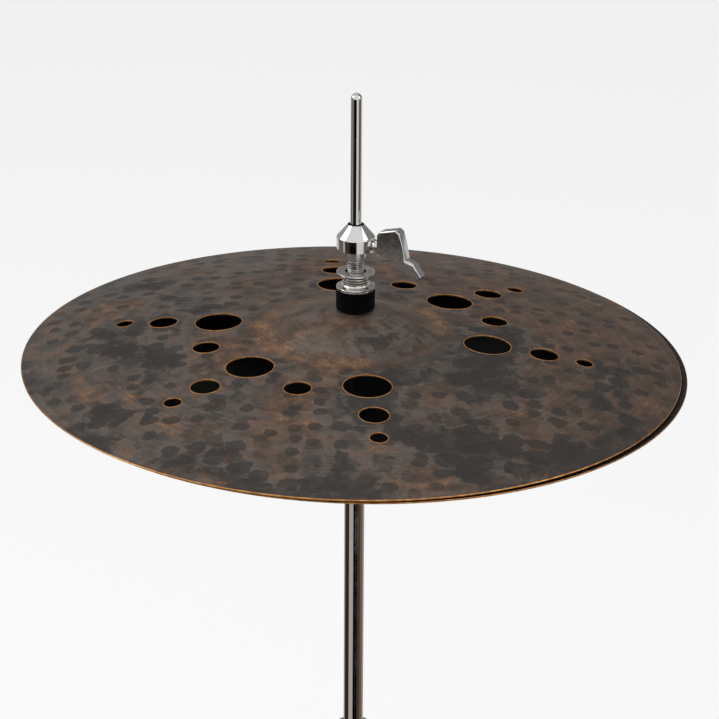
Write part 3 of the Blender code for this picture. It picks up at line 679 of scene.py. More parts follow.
def turned_piece(node: str, profile: Profile, finish: Finish, round_by: float = 0.25 * MM,
                 steps: int = 64, place: Matrix | None = None,
                 blackened: float = 0.0) -> bpy.types.Object:
    """Make the finished piece of a turned CAD node.

    Args:
        node: the CAD node that the piece stands for.
        profile: (radius, height) points of its section.
        finish: its finish.
        round_by: how far its edges are rounded.
        steps: the number of steps round its axis.
        place: where it goes, for a piece that doesn't stand on the rod's axis.
        blackened: the radius within which its faces are near-black painted shade: bore, chamfers and grooves.

    Returns:
        The new object.
    """
    shape = bmesh.new()
    lathe(shape, profile, steps, place)
    if round_by > 0:
        round_edges(shape, round_by)
    # Faces near the axis take near-black painted shade: the bore, its chamfers and grooves.
    for face in shape.faces:
        if face.calc_center_median().xy.length < blackened:
            face.material_index = 1
    others = (PAINTED_SHADE_BORE,) if blackened > 0 else ()
    return finish_piece(node + "_shaped", shape, finish, node, other_finishes=others)


def eased_copy(node: str, finish: Finish, width: float, segments: int = 2,
               sharper_than: float = 28.0) -> bpy.types.Object:
    """Make the finished piece of a CAD node whose shape is right, with its edges eased.

    Args:
        node: the CAD node.
        finish: the piece's finish.
        width: how far the edges are rounded.
        segments: the strips in each rounded edge.
        sharper_than: the angle, in degrees, above which an edge is rounded.

    Returns:
        The new object.
    """
    shape = bmesh.new()
    shape.from_mesh(frame["nodes"][node].data)
    bmesh.ops.remove_doubles(shape, verts=shape.verts, dist=0.000005)
    bmesh.ops.dissolve_limit(shape, angle_limit=math.radians(0.5), verts=shape.verts,
                             edges=shape.edges)
    round_edges(shape, width, segments, sharper_than)
    return finish_piece(node + "_eased", shape, finish, node)


def turned_to(axis: Vector, at: Vector) -> Matrix:
    """Return the place at a point that turns a piece's own Z to an axis."""
    return Matrix.Translation(at) @ UP.rotation_difference(axis).to_matrix().to_4x4()


def level(points: Profile) -> Profile:
    """Turn (radius, height over the rim) in millimetres into metres over the floor."""
    return [(r * MM, RIM_Z + z * MM) for r, z in points]


def heights(node: str) -> tuple[float, float]:
    """Return the lowest and the highest point of a CAD node."""
    low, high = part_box(node)
    return low[2], high[2]


def thread(major: float, low: float, high: float, pitch: float, depth: float) -> Profile:
    """Return the outer side of a threaded stretch, from its top down.

    Args:
        major: the thread's outer radius.
        low: its lower end.
        high: its upper end.
        pitch: the distance from crest to crest.
        depth: how deep the grooves are.

    Returns:
        The (radius, height) points.
    """
    points = []
    turns = int((high - low) / pitch)
    for i in range(turns):
        top = high - i * pitch
        points.append((major, top - 0.1 * pitch))
        points.append((major, top - 0.3 * pitch))
        points.append((major - depth, top - 0.6 * pitch))
        points.append((major - depth, top - 0.75 * pitch))
    return points


# ---------------------------------------------------------------- cymbals

class HoleSize(Enum):
    """The four sizes of sound hole: (distance of the centre, radius)."""

    LARGE = (84.1 * MM, 14.4 * MM)
    MIDDLE = (119.1 * MM, 8.8 * MM)
    SMALL = (144.0 * MM, 5.2 * MM)
    BETWEEN = (92.8 * MM, 8.1 * MM)


@dataclass
class Cymbals:
    """The perforated top cymbal and the plain bottom one."""

    radius: float = 203.2 * MM
    thickness: float = 1.0 * MM
    bow_height: float = 20.15 * MM
    bow_power: float = 2.29
    bell_radius: float = 56 * MM
    bell_height: float = 14.0 * MM
    bell_flat: float = 12 * MM
    mount_hole: float = 7.2 * MM
    arm_step: float = math.radians(-52.7)
    first_arms: tuple[float, float] = (math.radians(-83.7), math.radians(95.4))
    lip: float = 0.7 * MM
    unevenness: float = 0.16 * MM
    rings: int = 66
    steps: int = 288

    def height(self, r: float) -> float:
        """Return the outer surface's height over the rim."""
        bow = self.bow_height * (1 - (r / self.radius) ** self.bow_power)
        if r >= self.bell_radius:
            return bow
        inside = max(r, self.bell_flat)
        return bow + self.bell_height * (1 - (inside / self.bell_radius) ** 2.2) ** 1.35

    def slope(self, r: float) -> float:
        """Return how fast the surface falls with the radius."""
        return (self.height(r + 0.1 * MM) - self.height(r - 0.1 * MM)) / (0.2 * MM)

    def section(self, upright: bool) -> Profile:
        """Return the closed section of the bronze.

        Args:
            upright: True for the top cymbal, False for the bottom one, which faces down.

        Returns:
            The (radius, height) points, over the rim plane.
        """
        sign = 1 if upright else -1
        span = self.radius - self.mount_hole
        edge = 0.3 * MM
        radii = [self.mount_hole + span * i / self.rings for i in range(self.rings)]
        radii.append(self.radius - edge)
        near = [(r, sign * self.height(r)) for r in radii]
        rim = [(self.radius, -0.35 * self.thickness), (self.radius, -0.65 * self.thickness)]
        far = [(r, sign * self.height(r) - self.thickness) for r in reversed(radii)]
        return near + rim + far

    def place(self, joint: str) -> Matrix:
        """Return where a cymbal's rim plane lies, from its spin joint."""
        return turned_to(Vector(JOINTS[joint]["axis"]), JOINTS[joint]["pos_m"])

    def shell(self, upright: bool, seed: float) -> Shape:
        """Spin the bronze, and make it as uneven as hammering leaves it."""
        shape = bmesh.new()
        lathe(shape, self.section(upright), self.steps)
        for vertex in shape.verts:
            vertex.co.z += self.uneven(vertex.co, seed)
        self.sort_faces(shape, upright)
        return shape

    def uneven(self, point: Vector, seed: float) -> float:
        """Return how far the hammer has pushed the metal up at a point."""
        r = math.hypot(point.x, point.y)
        calm = min(1.0, max(0.0, (self.radius - r) / (25 * MM)))
        calm *= min(1.0, max(0.1, (r - self.bell_radius * 0.6) / (30 * MM)))
        return self.unevenness * calm * noise.noise(Vector((point.x, point.y, seed)) / (26 * MM))

    def sort_faces(self, shape: Shape, upright: bool) -> None:
        """Mark the rim's and the mount hole's faces as bare, and the bottom's inside as painted shade."""
        for face in shape.faces:
            centre = face.calc_center_median()
            r = math.hypot(centre.x, centre.y)
            if r > self.radius - 0.25 * MM or abs(face.normal.z) < 0.3 and r < self.bell_flat:
                face.material_index = 1
            # The bottom cymbal's inside takes near-black painted shade.
            elif not upright and face.normal.z > 0:
                face.material_index = 2

    def hole_places(self) -> list[tuple[HoleSize, float]]:
        """Return the size and the azimuth of every sound hole."""
        found = []
        for first in self.first_arms:
            for arm in range(3):
                for size in (HoleSize.LARGE, HoleSize.MIDDLE, HoleSize.SMALL):
                    found.append((size, first + arm * self.arm_step))
            for arm in range(2):
                found.append((HoleSize.BETWEEN, first + (arm + 0.5) * self.arm_step))
        return found

    def hole_place(self, size: HoleSize, azimuth: float) -> Matrix:
        """Return a hole's place, with its axis square to the surface."""
        distance = size.value[0]
        return (Matrix.Rotation(azimuth, 4, "Z")
                @ Matrix.Translation((distance, 0, self.height(distance)))
                @ Matrix.Rotation(-math.atan(self.slope(distance)), 4, "Y"))

    def hole_cutter(self) -> bpy.types.Object:
        """Return one object that holds every hole's cutter."""
        shape = bmesh.new()
        for size, azimuth in self.hole_places():
            reach = size.value[1] + 0.4 * self.lip
            lathe(shape, [(0, 4 * MM), (reach, 4 * MM), (reach, -5 * MM), (0, -5 * MM)], 72,
                  self.hole_place(size, azimuth))
        return self.helper("hole_cutter", shape)

    def hole_lip(self, size: HoleSize, azimuth: float, seed: float) -> Shape:
        """Build the rounded bare lip of one hole, laid on the uneven surface."""
        distance, radius = size.value
        lip, low = self.lip, -0.5 * MM
        profile = [
            (radius, low), (radius, 0.0), (radius + 0.15 * lip, 0.09 * MM),
            (radius + 0.4 * lip, 0.15 * MM), (radius + 0.68 * lip, 0.12 * MM),
            (radius + 0.9 * lip, 0.03 * MM), (radius + lip, -0.12 * MM),
            (radius + 0.6 * lip, low)]
        ring = bmesh.new()
        lathe(ring, profile, 72, self.hole_place(size, azimuth), surface=1)
        out = Vector((math.cos(azimuth), math.sin(azimuth), 0))
        for vertex in ring.verts:
            flat = self.height(distance) + self.slope(distance) * (vertex.co.dot(out) - distance)
            surface = self.height(math.hypot(vertex.co.x, vertex.co.y))
            vertex.co.z += surface - flat + self.uneven(vertex.co, seed)
        return ring

    def helper(self, name: str, shape: Shape) -> bpy.types.Object:
        """Return a shape as an object with two slots, for the Boolean; the shape is freed."""
        mesh = mesh_of(name, shape)
        for finish in (FELT, BARE_EDGE):
            mesh.materials.append(finish.material())
        return in_scene(name, mesh)

    def patina(self, name: str, joint: str) -> AgedBronze:
        """Return the patina, laid out from one cymbal's own axis."""
        return AgedBronze(name, tuple(JOINTS[joint]["pos_m"]), math.asin(CYMBAL_AXIS.x))

    def build_top(self) -> None:
        """Build the top cymbal, cut its sound holes and lay their lips."""
        seed = 0.11
        blank = self.helper("top_blank", self.shell(True, seed))
        cutter = self.hole_cutter()
        cut = blank.modifiers.new("holes", "BOOLEAN")
        cut.operation = "DIFFERENCE"
        cut.solver = "EXACT"
        cut.object = cutter
        cut.material_mode = "INDEX"
        bpy.context.view_layer.update()
        evaluated = blank.evaluated_get(bpy.context.evaluated_depsgraph_get())
        shape = bmesh.new()
        shape.from_mesh(evaluated.to_mesh())
        evaluated.to_mesh_clear()
        for helper in (blank, cutter):
            bpy.data.objects.remove(helper, do_unlink=True)
        for size, azimuth in self.hole_places():
            add_shape(shape, self.hole_lip(size, azimuth, seed))
        shape.transform(self.place("upper_cymbal_spin"))
        finish = self.patina("aged_bell_bronze_top", "upper_cymbal_spin")
        finish_piece("top_cymbal_shaped", shape, finish, "top_cymbal", None, (BARE_EDGE,), 24.0,
                     flat_plates=False)

    def build_bottom(self) -> None:
        """Build the bottom cymbal."""
        shape = self.shell(False, 0.73)
        shape.transform(self.place("lower_cymbal_spin"))
        finish = self.patina("aged_bell_bronze_bottom", "lower_cymbal_spin")
        finish_piece("bottom_cymbal_shaped", shape, finish, "bottom_cymbal", None,
                     (BARE_EDGE, PAINTED_SHADE_INSIDE), 24.0)

    def build(self) -> None:
        """Build both cymbals."""
        self.build_top()
        self.build_bottom()


# ---------------------------------------------------------------- clutch

@dataclass
class WingBolt:
    """A cast wing bolt: threaded shank, ball neck and a flat wing, along local X."""

    node: str
    joint: str
    tip: float
    ball_at: float
    outline: Profile
    thickness: float
    taper: float = 0.25
    ball_radius: float = 3.7 * MM
    shank_radius: float = 2.5 * MM

    def place(self) -> Matrix:
        """Return the place of the bolt's own axes, from its joint."""
        joint = JOINTS[self.joint]
        out = Vector(joint["axis"])
        side = UP.cross(out)
        turn = Matrix((out, side, UP)).transposed().to_4x4()
        return Matrix.Translation(joint["pos_m"]) @ turn

    def wing(self) -> Shape:
        """Extrude the wing, thin it outwards and round it."""
        shape = bmesh.new()
        corners = [shape.verts.new((x, -self.thickness / 2, z)) for x, z in self.outline]
        face = shape.faces.new(corners)
        grown = bmesh.ops.extrude_face_region(shape, geom=[face])
        moved = [item for item in grown["geom"] if isinstance(item, bmesh.types.BMVert)]
        bmesh.ops.translate(shape, verts=moved, vec=(0, self.thickness, 0))
        bmesh.ops.recalc_face_normals(shape, faces=shape.faces)
        near = min(x for x, _ in self.outline)
        far = max(x for x, _ in self.outline)
        for vertex in shape.verts:
            share = (vertex.co.x - near) / (far - near)
            vertex.co.y *= 1 - self.taper * share
        round_edges(shape, 0.8 * MM, 3, 22.0)
        return shape

    def build(self, finish: Finish) -> None:
        """Build the bolt in its finish."""
        shape = self.wing()
        along = Matrix.Rotation(math.pi / 2, 4, "Y")
        low, high = self.tip, self.ball_at
        ridges = thread(self.shank_radius, low, high - 3 * MM, 0.8 * MM, 0.3 * MM)
        shank = [(0, high), (self.shank_radius, high)] + ridges + [
            (self.shank_radius - 0.5 * MM, low), (0, low)]
        lathe(shape, shank, 24, along)
        ball = bmesh.new()
        bmesh.ops.create_uvsphere(ball, u_segments=40, v_segments=20, radius=self.ball_radius)
        ball.transform(Matrix.Translation((self.ball_at, 0, 0)) @ along)
        add_shape(shape, ball)
        shape.transform(self.place())
        finish_piece(self.node + "_shaped", shape, finish, self.node)


@dataclass
class Clutch:
    """Everything that the wing bolt holds on the rod. Its sizes are in millimetres."""

    bore: float = 3.8
    tube_radius: float = 5.2
    felt_radius: float = 12.0

    def wing_outline(self) -> Profile:
        """Return the S-shaped wing: one lobe up near the hub, one lobe down farther out."""
        near, mid, far = 16.5 * MM, 31 * MM, 47 * MM
        return [
            (near, -2.5 * MM), (near + MM, -4.6 * MM), (26 * MM, -4.8 * MM), (mid, -11 * MM),
            (far - 2 * MM, -16 * MM), (far, -13.6 * MM), (42 * MM, -6.5 * MM),
            (36 * MM, -4.8 * MM), (34.6 * MM, 3 * MM), (mid + MM, 12 * MM),
            (29.5 * MM, 13.8 * MM), (near + 1.6 * MM, 10.8 * MM), (near, 8.4 * MM),
        ]

    def build_body(self) -> None:
        """Build the body with its cone, and cut the wing bolt's seat into its side."""
        bore = self.bore
        # The body's bore, its inner step and the top ring round the rod take painted shade.
        turned_piece("clutch_body", level([
            (4.9, 88.9), (11.85, 81), (11.85, 73), (6.65, 73), (6.65, 65.8), (5.5, 65.8),
            (5.5, 71.8), (bore, 71.8), (bore, 87.0), (4.5, 88.6)]), CHROME, 0.3 * MM, 96,
            blackened=5.7 * MM)
        self.build_bolt_seat()

    def build_bolt_seat(self) -> None:
        """Build the dark countersunk bush round the wing bolt, let into the body's side."""
        joint = JOINTS["clutch_wing_turn"]
        shape = bmesh.new()
        lathe(shape, [(2.7 * MM, 10.6 * MM), (4.1 * MM, 12.3 * MM), (4.6 * MM, 12.3 * MM),
                      (4.6 * MM, 9.6 * MM), (2.7 * MM, 9.6 * MM)], 48,
              turned_to(Vector(joint["axis"]), joint["pos_m"]))
        finish_piece("clutch_bolt_seat", shape, STEEL, None, BODY_OF["clutch_body"])

    def build_tube(self) -> None:
        """Build the threaded tube that everything hangs on."""
        outer = thread(self.tube_radius * MM, RIM_Z + 12.5 * MM, RIM_Z + 70.5 * MM, 1.25 * MM,
                       0.55 * MM)
        profile = [(self.bore * MM, RIM_Z + 71.5 * MM),
                   (self.tube_radius * MM, RIM_Z + 71.5 * MM)] + outer + [
            (4.6 * MM, RIM_Z + 12 * MM), (self.bore * MM, RIM_Z + 12 * MM)]
        # The tube's bore and end faces take painted shade.
        turned_piece("clutch_tube", profile, STEEL, 0.0, 48, blackened=4.8 * MM)

    def build_nuts(self) -> None:
        """Build the two flanged lock nuts, the washer and the nut under the cymbal."""
        # Inside 7.45 mm the nuts' bores and the grooves in their hubs take painted shade.
        turned_piece("upper_lock_nut", level([
            (6.4, 58.4), (11.0, 58.4), (11.75, 57.9), (11.75, 57.5), (11.1, 57.1), (8.4, 57.1),
            (7.9, 56.6), (7.9, 55.7), (7.3, 55.5), (7.3, 55.1), (7.9, 54.9), (7.9, 53.8),
            (7.6, 53.6), (5.5, 53.6), (5.5, 56.6)]), STEEL, 0.12 * MM, 80, blackened=7.45 * MM)
        turned_piece("lower_lock_nut", level([
            (5.5, 53.3), (7.6, 53.3), (7.9, 53.1), (7.9, 52.4), (7.3, 52.2), (7.3, 51.8),
            (8.1, 51.6), (8.1, 50.6), (8.6, 49.8), (11.2, 49.2), (11.8, 48.8), (11.8, 48.5),
            (11.4, 48.2), (5.5, 48.2)]), STEEL, 0.12 * MM, 80, blackened=7.45 * MM)
        turned_piece("clutch_washer", level([
            (5.5, 47.9), (11.8, 47.9), (11.8, 47.2), (5.5, 47.2)]), STEEL, 0.15 * MM, 80)
        eased_copy("bottom_nut", STEEL, 0.5 * MM)

    def build_felts(self) -> None:
        """Build the two felts that hold the top cymbal."""
        for node, low, high in (("upper_felt", 34.15, 46.9), ("lower_felt", 25.9, 31.9)):
            felt = Felt(node, 5.5 * MM, self.felt_radius * MM, low * MM, high * MM)
            felt.build(Matrix.Translation((0, 0, RIM_Z)))

    def build(self) -> None:
        """Build the whole clutch."""
        self.build_body()
        self.build_tube()
        self.build_nuts()
        self.build_felts()
        bolt = WingBolt("clutch_wing_bolt", "clutch_wing_turn", 4.1 * MM, 14.2 * MM,
                        self.wing_outline(), 8 * MM)
        bolt.build(CAST_CHROME)


@dataclass
class Felt:
    """A pressed felt washer with soft edges and a fuzzy skin."""

    node: str
    inner: float
    outer: float
    low: float
    high: float
    edge: float = 1.1 * MM
    fuzz: float = 0.16 * MM
    rows: int = 18

    def section(self) -> Profile:
        """Return the felt's section, with its outer edges rounded."""
        corner = [(math.sin(math.radians(a)), math.cos(math.radians(a))) for a in (0, 30, 60, 90)]
        centre = self.outer - self.edge
        top = [(centre + self.edge * s, self.high - self.edge + self.edge * c)
               for s, c in corner]
        bottom = [(r, self.low + self.high - z) for r, z in reversed(top)]
        span = top[-1][1] - bottom[0][1]
        wall = [(self.outer, top[-1][1] - span * i / self.rows) for i in range(1, self.rows)]
        reach = centre - self.inner
        lid = [(self.inner + reach * i / 6, self.high) for i in range(6)]
        base = [(r, self.low) for r, _ in reversed(lid)]
        return lid + top + wall + bottom + base

    def build(self, place: Matrix) -> None:
        shape = bmesh.new()
        lathe(shape, self.section(), 120)
        shape.normal_update()
        for vertex in shape.verts:
            if math.hypot(vertex.co.x, vertex.co.y) < self.inner + 0.1 * MM:
                continue
            depth = self.fuzz * (noise.noise(vertex.co / (0.9 * MM)) - 0.4)
            vertex.co += vertex.normal * min(depth, 0.0)
        shape.transform(place)
        felt = finish_piece(self.node + "_shaped", shape, FELT, self.node, smooth_below=60)


# ---------------------------------------------------------------- rod, tubes and seat

@dataclass
class Rod:
    """The pull rod, its spring and what joins it to the footboard."""

    radius: float = 3.5 * MM
    spring_radius: float = 8 * MM
    wire: float = 0.8 * MM
    coils: int = 7

    def build(self) -> None:
        """Build every piece that rises and falls with the rod."""
        low, high = heights("pull_rod")
        dome = [(self.radius * math.sin(a), high - self.radius * (1 - math.cos(a)))
                for a in (math.pi / 2 * i / 8 for i in range(9))]
        turned_piece("pull_rod", dome + [(self.radius, low), (0, low)], CHROME, 0.0, 64)
        low, high = heights("lower_rod")
        ridges = thread(self.radius, low + MM, low + 26 * MM, 1.0 * MM, 0.4 * MM)
        turned_piece("lower_rod", [(0, high), (self.radius, high)] + ridges
                     + [(self.radius - 0.5 * MM, low), (0, low)], STEEL, 0.0, 40)
        ring_piece("rod_coupler", self.radius + 0.3 * MM, STEEL, 0.3 * MM)
        ring_piece("spring_perch", self.radius + 0.3 * MM, STEEL, 0.6 * MM)
        self.build_spring()
        for node in ("rod_clevis", "pull_link", "link_pin"):
            eased_copy(node, STEEL, 0.35 * MM)

    def build_spring(self) -> None:
        """Wind the spring by spinning a wire's section up its pitch."""
        low, high = heights("return_spring")
        shape = bmesh.new()
        start = Matrix.Translation((self.spring_radius, 0, low + self.wire))
        bmesh.ops.create_circle(shape, cap_ends=True, segments=12, radius=self.wire,
                                matrix=start @ Matrix.Rotation(math.pi / 2, 4, "X"))
        steps = self.coils * 36
        rise = (high - low - 2 * self.wire) / steps
        bmesh.ops.spin(shape, geom=shape.faces[:], cent=(0, 0, 0), axis=(0, 0, 1),
                       dvec=(0, 0, rise), angle=2 * math.pi * self.coils, steps=steps)
        bmesh.ops.remove_doubles(shape, verts=shape.verts, dist=0.000002)
        bmesh.ops.recalc_face_normals(shape, faces=shape.faces)
        spring = finish_piece("return_spring_shaped", shape, STEEL, "return_spring",
                              smooth_below=50, rides=False)
        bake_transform(spring)


def ring_piece(node: str, inner: float, finish: Finish, round_by: float,
               steps: int = 72) -> bpy.types.Object:
    """Make the finished piece of a plain ring or tube, from its CAD node's box.

    Args:
        node: the CAD node.
        inner: the radius of its bore.
        finish: the piece's finish.
        round_by: how far its edges are rounded.
        steps: the number of steps round its axis.

    Returns:
        The new object.
    """
    low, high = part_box(node)
    outer = (high[0] - low[0]) / 2
    profile = [(inner, high[2]), (outer, high[2]), (outer, low[2]), (inner, low[2])]
    return turned_piece(node, profile, finish, round_by, steps)


@dataclass
class StandTubes:
    """The two tubes, the clamp and bushing between them, and the lock ring."""

    base_bore: float = 11.1 * MM
    base_radius: float = 12.7 * MM
    upper_bore: float = 5.15 * MM
    bush_bore: float = 6.65 * MM

    def build(self) -> None:
        """Build the tubes and their fittings."""
        ring_piece("base_tube", self.base_bore, CHROME, 0.5 * MM, 96)
        ring_piece("upper_tube", self.upper_bore, CHROME, 0.4 * MM, 96)
        ring_piece("memory_lock", self.bush_bore, CAST_CHROME, 1.2 * MM)
        ring_piece("spring_seat", 4.2 * MM, STEEL, 0.4 * MM, 64)
        low, high = heights("tube_bushing")
        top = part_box("base_tube")[1][2] + 0.3 * MM
        sleeve = self.base_bore - 0.3 * MM
        turned_piece("tube_bushing", [
            (self.bush_bore, high), (self.base_radius, high), (self.base_radius, top),
            (sleeve, top), (sleeve, low), (self.bush_bore, low)], NYLON, 0.4 * MM, 72)
        eased_copy("tube_clamp", CAST_CHROME, 0.7 * MM, 2, 35)
        eased_copy("clamp_nut", STEEL, 0.4 * MM)
        eased_copy("memory_lock_bolt", STEEL, 0.4 * MM)
        WingBolt("clamp_wing_bolt", "clamp_wing_turn", -17.5 * MM, 15.2 * MM,
                 butterfly(16 * MM), 6 * MM).build(CAST_CHROME)


def butterfly(root: float) -> Profile:
    """Return the outline of a wing with two equal lobes, starting at a distance."""
    upper = [(root, 5 * MM), (root + 5 * MM, 13 * MM), (root + 17 * MM, 15 * MM),
             (root + 20 * MM, 11 * MM), (root + 9 * MM, 4 * MM)]
    return upper + [(x, -z) for x, z in reversed(upper)]


@dataclass
class Seat:
    """The bottom cymbal's seat on the upper tube."""

    felt_drop: float = 36.75 * MM

    def tilted(self) -> Matrix:
        """Return the place of the tilted cup: local 0 is the felt's upper face."""
        return turned_to(CYMBAL_AXIS, Vector((0, 0, RIM_Z - self.felt_drop)))

    def build(self) -> None:
        """Build the seat from the tube up."""
        turned_piece("seat_base", level([
            (4.6, -54), (22, -54), (22, -57), (11, -57), (11, -78), (6.65, -78), (6.65, -58),
            (4.6, -58)]), CHROME, 0.6 * MM, 80)
        place = self.tilted()
        Felt("seat_felt", 5.6 * MM, 22 * MM, -6 * MM, 0.0, rows=8).build(place)
        turned_piece("seat_cup", [
            (5.5 * MM, -6.3 * MM), (24 * MM, -6.3 * MM), (24 * MM, -8 * MM),
            (20 * MM, -10.3 * MM), (5.5 * MM, -10.3 * MM)], CHROME, 0.4 * MM, 80, place)
        turned_piece("seat_sleeve", [
            (3.9 * MM, 8 * MM), (5.2 * MM, 8 * MM), (5.2 * MM, -10 * MM), (3.9 * MM, -10 * MM)],
            NYLON, 0.3 * MM, 48, place)
        eased_copy("seat_hinge_pin", STEEL, 0.5 * MM)
        screw = Vector(JOINTS["tilt_screw_turn"]["pos_m"])
        low, high = heights("tilt_screw")
        knob = low + 7 * MM
        ridges = thread(2.1 * MM, knob + MM, high - MM, 0.8 * MM, 0.3 * MM)
        turned_piece("tilt_screw", [(0, high), (1.6 * MM, high)] + ridges + [
            (2.1 * MM, knob), (5.4 * MM, knob), (6 * MM, knob - MM), (6 * MM, low + MM),
            (5.2 * MM, low), (0, low)], STEEL, 0.0, 48,
            Matrix.Translation((screw.x, screw.y, 0)))


# ---------------------------------------------------------------- pedal and tripod

@dataclass
class Pedal:
    """The base plate, the heel plate, the yoke and the footboard."""

    def build(self) -> None:
        """Build the pedal's pieces."""
        eased_copy("base_plate", POWDER, 0.8 * MM)
        eased_copy("heel_plate", POWDER, 1.4 * MM, 3)
        eased_copy("frame_yoke", POWDER, 1.4 * MM, 3, 40)
        eased_copy("footboard", CAST_CHROME, 0.6 * MM, 2, 40)
        for node in ("hinge_pin", "toe_pin"):
            eased_copy(node, STEEL, 0.5 * MM, 2, 40)


@dataclass
class Tripod:
    """The collars, and three legs with their braces, feet, pins and rivets."""

    brace_on_leg: float = 235 * MM
    foot_radius: float = 12 * MM
    letters: tuple[str, str, str] = ("a", "b", "c")
    pin_radii: dict[str, float] = field(default_factory=lambda: {
        "leg_pin_{}": 2.5 * MM, "brace_pin_{}": 2.0 * MM})

    def build(self) -> None:
        """Build the tripod."""
        eased_copy("leg_collar", CAST_CHROME, 0.6 * MM, 2, 35)
        eased_copy("brace_collar", CAST_CHROME, 0.5 * MM, 2, 35)
        WingBolt("collar_wing_bolt", "collar_wing_turn", 13.1 * MM, 23 * MM,
                 butterfly(24 * MM), 6 * MM).build(CAST_CHROME)
        for number, letter in enumerate(self.letters, start=1):
            eased_copy(f"leg_{number}", CHROME, 0.8 * MM)
            eased_copy(f"brace_{number}", CHROME, 0.7 * MM, 2, 40)
            self.build_pins(number, letter)
            self.build_foot(number, letter)
            self.build_rivet(number, letter)

    def leg_line(self, number: int, letter: str) -> tuple[Vector, Vector]:
        """Return a leg's pivot, and the unit vector from it to the foot."""
        pivot = Vector(JOINTS[f"leg_{letter}_hinge"]["pos_m"])
        low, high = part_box(f"foot_{number}")
        foot = (Vector(low) + Vector(high)) / 2
        return pivot, (foot - pivot).normalized()

    def build_pins(self, number: int, letter: str) -> None:
        """Build the headed pins through the collars' ears."""
        half_length = {"leg_pin_{}": 13.5 * MM, "brace_pin_{}": 6.5 * MM}
        joints = {"leg_pin_{}": f"leg_{letter}_hinge", "brace_pin_{}": f"brace_{letter}_hinge"}
        for pattern, radius in self.pin_radii.items():
            joint = JOINTS[joints[pattern]]
            half = half_length[pattern]
            profile = [(0, half), (radius - 0.4 * MM, half), (radius, half - 0.4 * MM),
                       (radius, 0.4 * MM - half), (radius - 0.4 * MM, -half), (0, -half)]
            turned_piece(pattern.format(number), profile, STEEL, 0.0, 32,
                         turned_to(Vector(joint["axis"]), joint["pos_m"]))

    def build_foot(self, number: int, letter: str) -> None:
        """Build a moulded rubber ball foot with two ribs near its socket."""
        _, along = self.leg_line(number, letter)
        low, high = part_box(f"foot_{number}")
        centre = (Vector(low) + Vector(high)) / 2
        radius = self.foot_radius
        profile = []
        for i in range(37):
            angle = math.pi * i / 36
            groove = 0.7 * MM if i in (9, 13) else 0.0
            reach = radius - groove
            profile.append((reach * math.sin(angle), -reach * math.cos(angle)))
        profile[0] = (0.0, -radius)
        profile[-1] = (0.0, radius)
        profile.reverse()
        shape = bmesh.new()
        lathe(shape, profile, 48, turned_to(along, centre))
        finish_piece(f"foot_{number}_shaped", shape, RUBBER, f"foot_{number}", smooth_below=40)

    def build_rivet(self, number: int, letter: str) -> None:
        """Build the domed rivet that joins a leg to its brace; it rides on the leg."""
        pivot, along = self.leg_line(number, letter)
        at = pivot + along * self.brace_on_leg
        axis = Vector(JOINTS[f"leg_{letter}_hinge"]["axis"])
        half = 9.1 * MM
        head = [(4.4 * MM * math.cos(a), half + 2 * MM * math.sin(a))
                for a in (math.radians(90 - 15 * i) for i in range(7))]
        body = [(2.4 * MM, half), (2.4 * MM, -half)]
        under = [(r, -z) for r, z in reversed(head)]
        shape = bmesh.new()
        head[0] = (0.0, head[0][1])
        under[-1] = (0.0, under[-1][1])
        lathe(shape, head + body + under, 32, turned_to(axis, at))
        finish_piece(f"leg_rivet_{number}", shape, STEEL, None, f"leg_{letter}")


# ---------------------------------------------------------------- studio

@dataclass
class SoftBox:
    """A large soft light that looks at the cymbals."""

    name: str
    position: tuple[float, float, float]
    width: float
    height: float
    watts: float

    def build(self) -> None:
        """Add the light."""
        lamp = bpy.data.lights.new(self.name, "AREA")
        lamp.shape = "RECTANGLE"
        lamp.size = self.width
        lamp.size_y = self.height
        lamp.energy = self.watts
        light = in_scene(self.name, lamp)
        aim = Vector((0, 0, RIM_Z)) - Vector(self.position)
        light.matrix_world = (Matrix.Translation(self.position)
                              @ aim.to_track_quat("-Z", "Y").to_matrix().to_4x4())


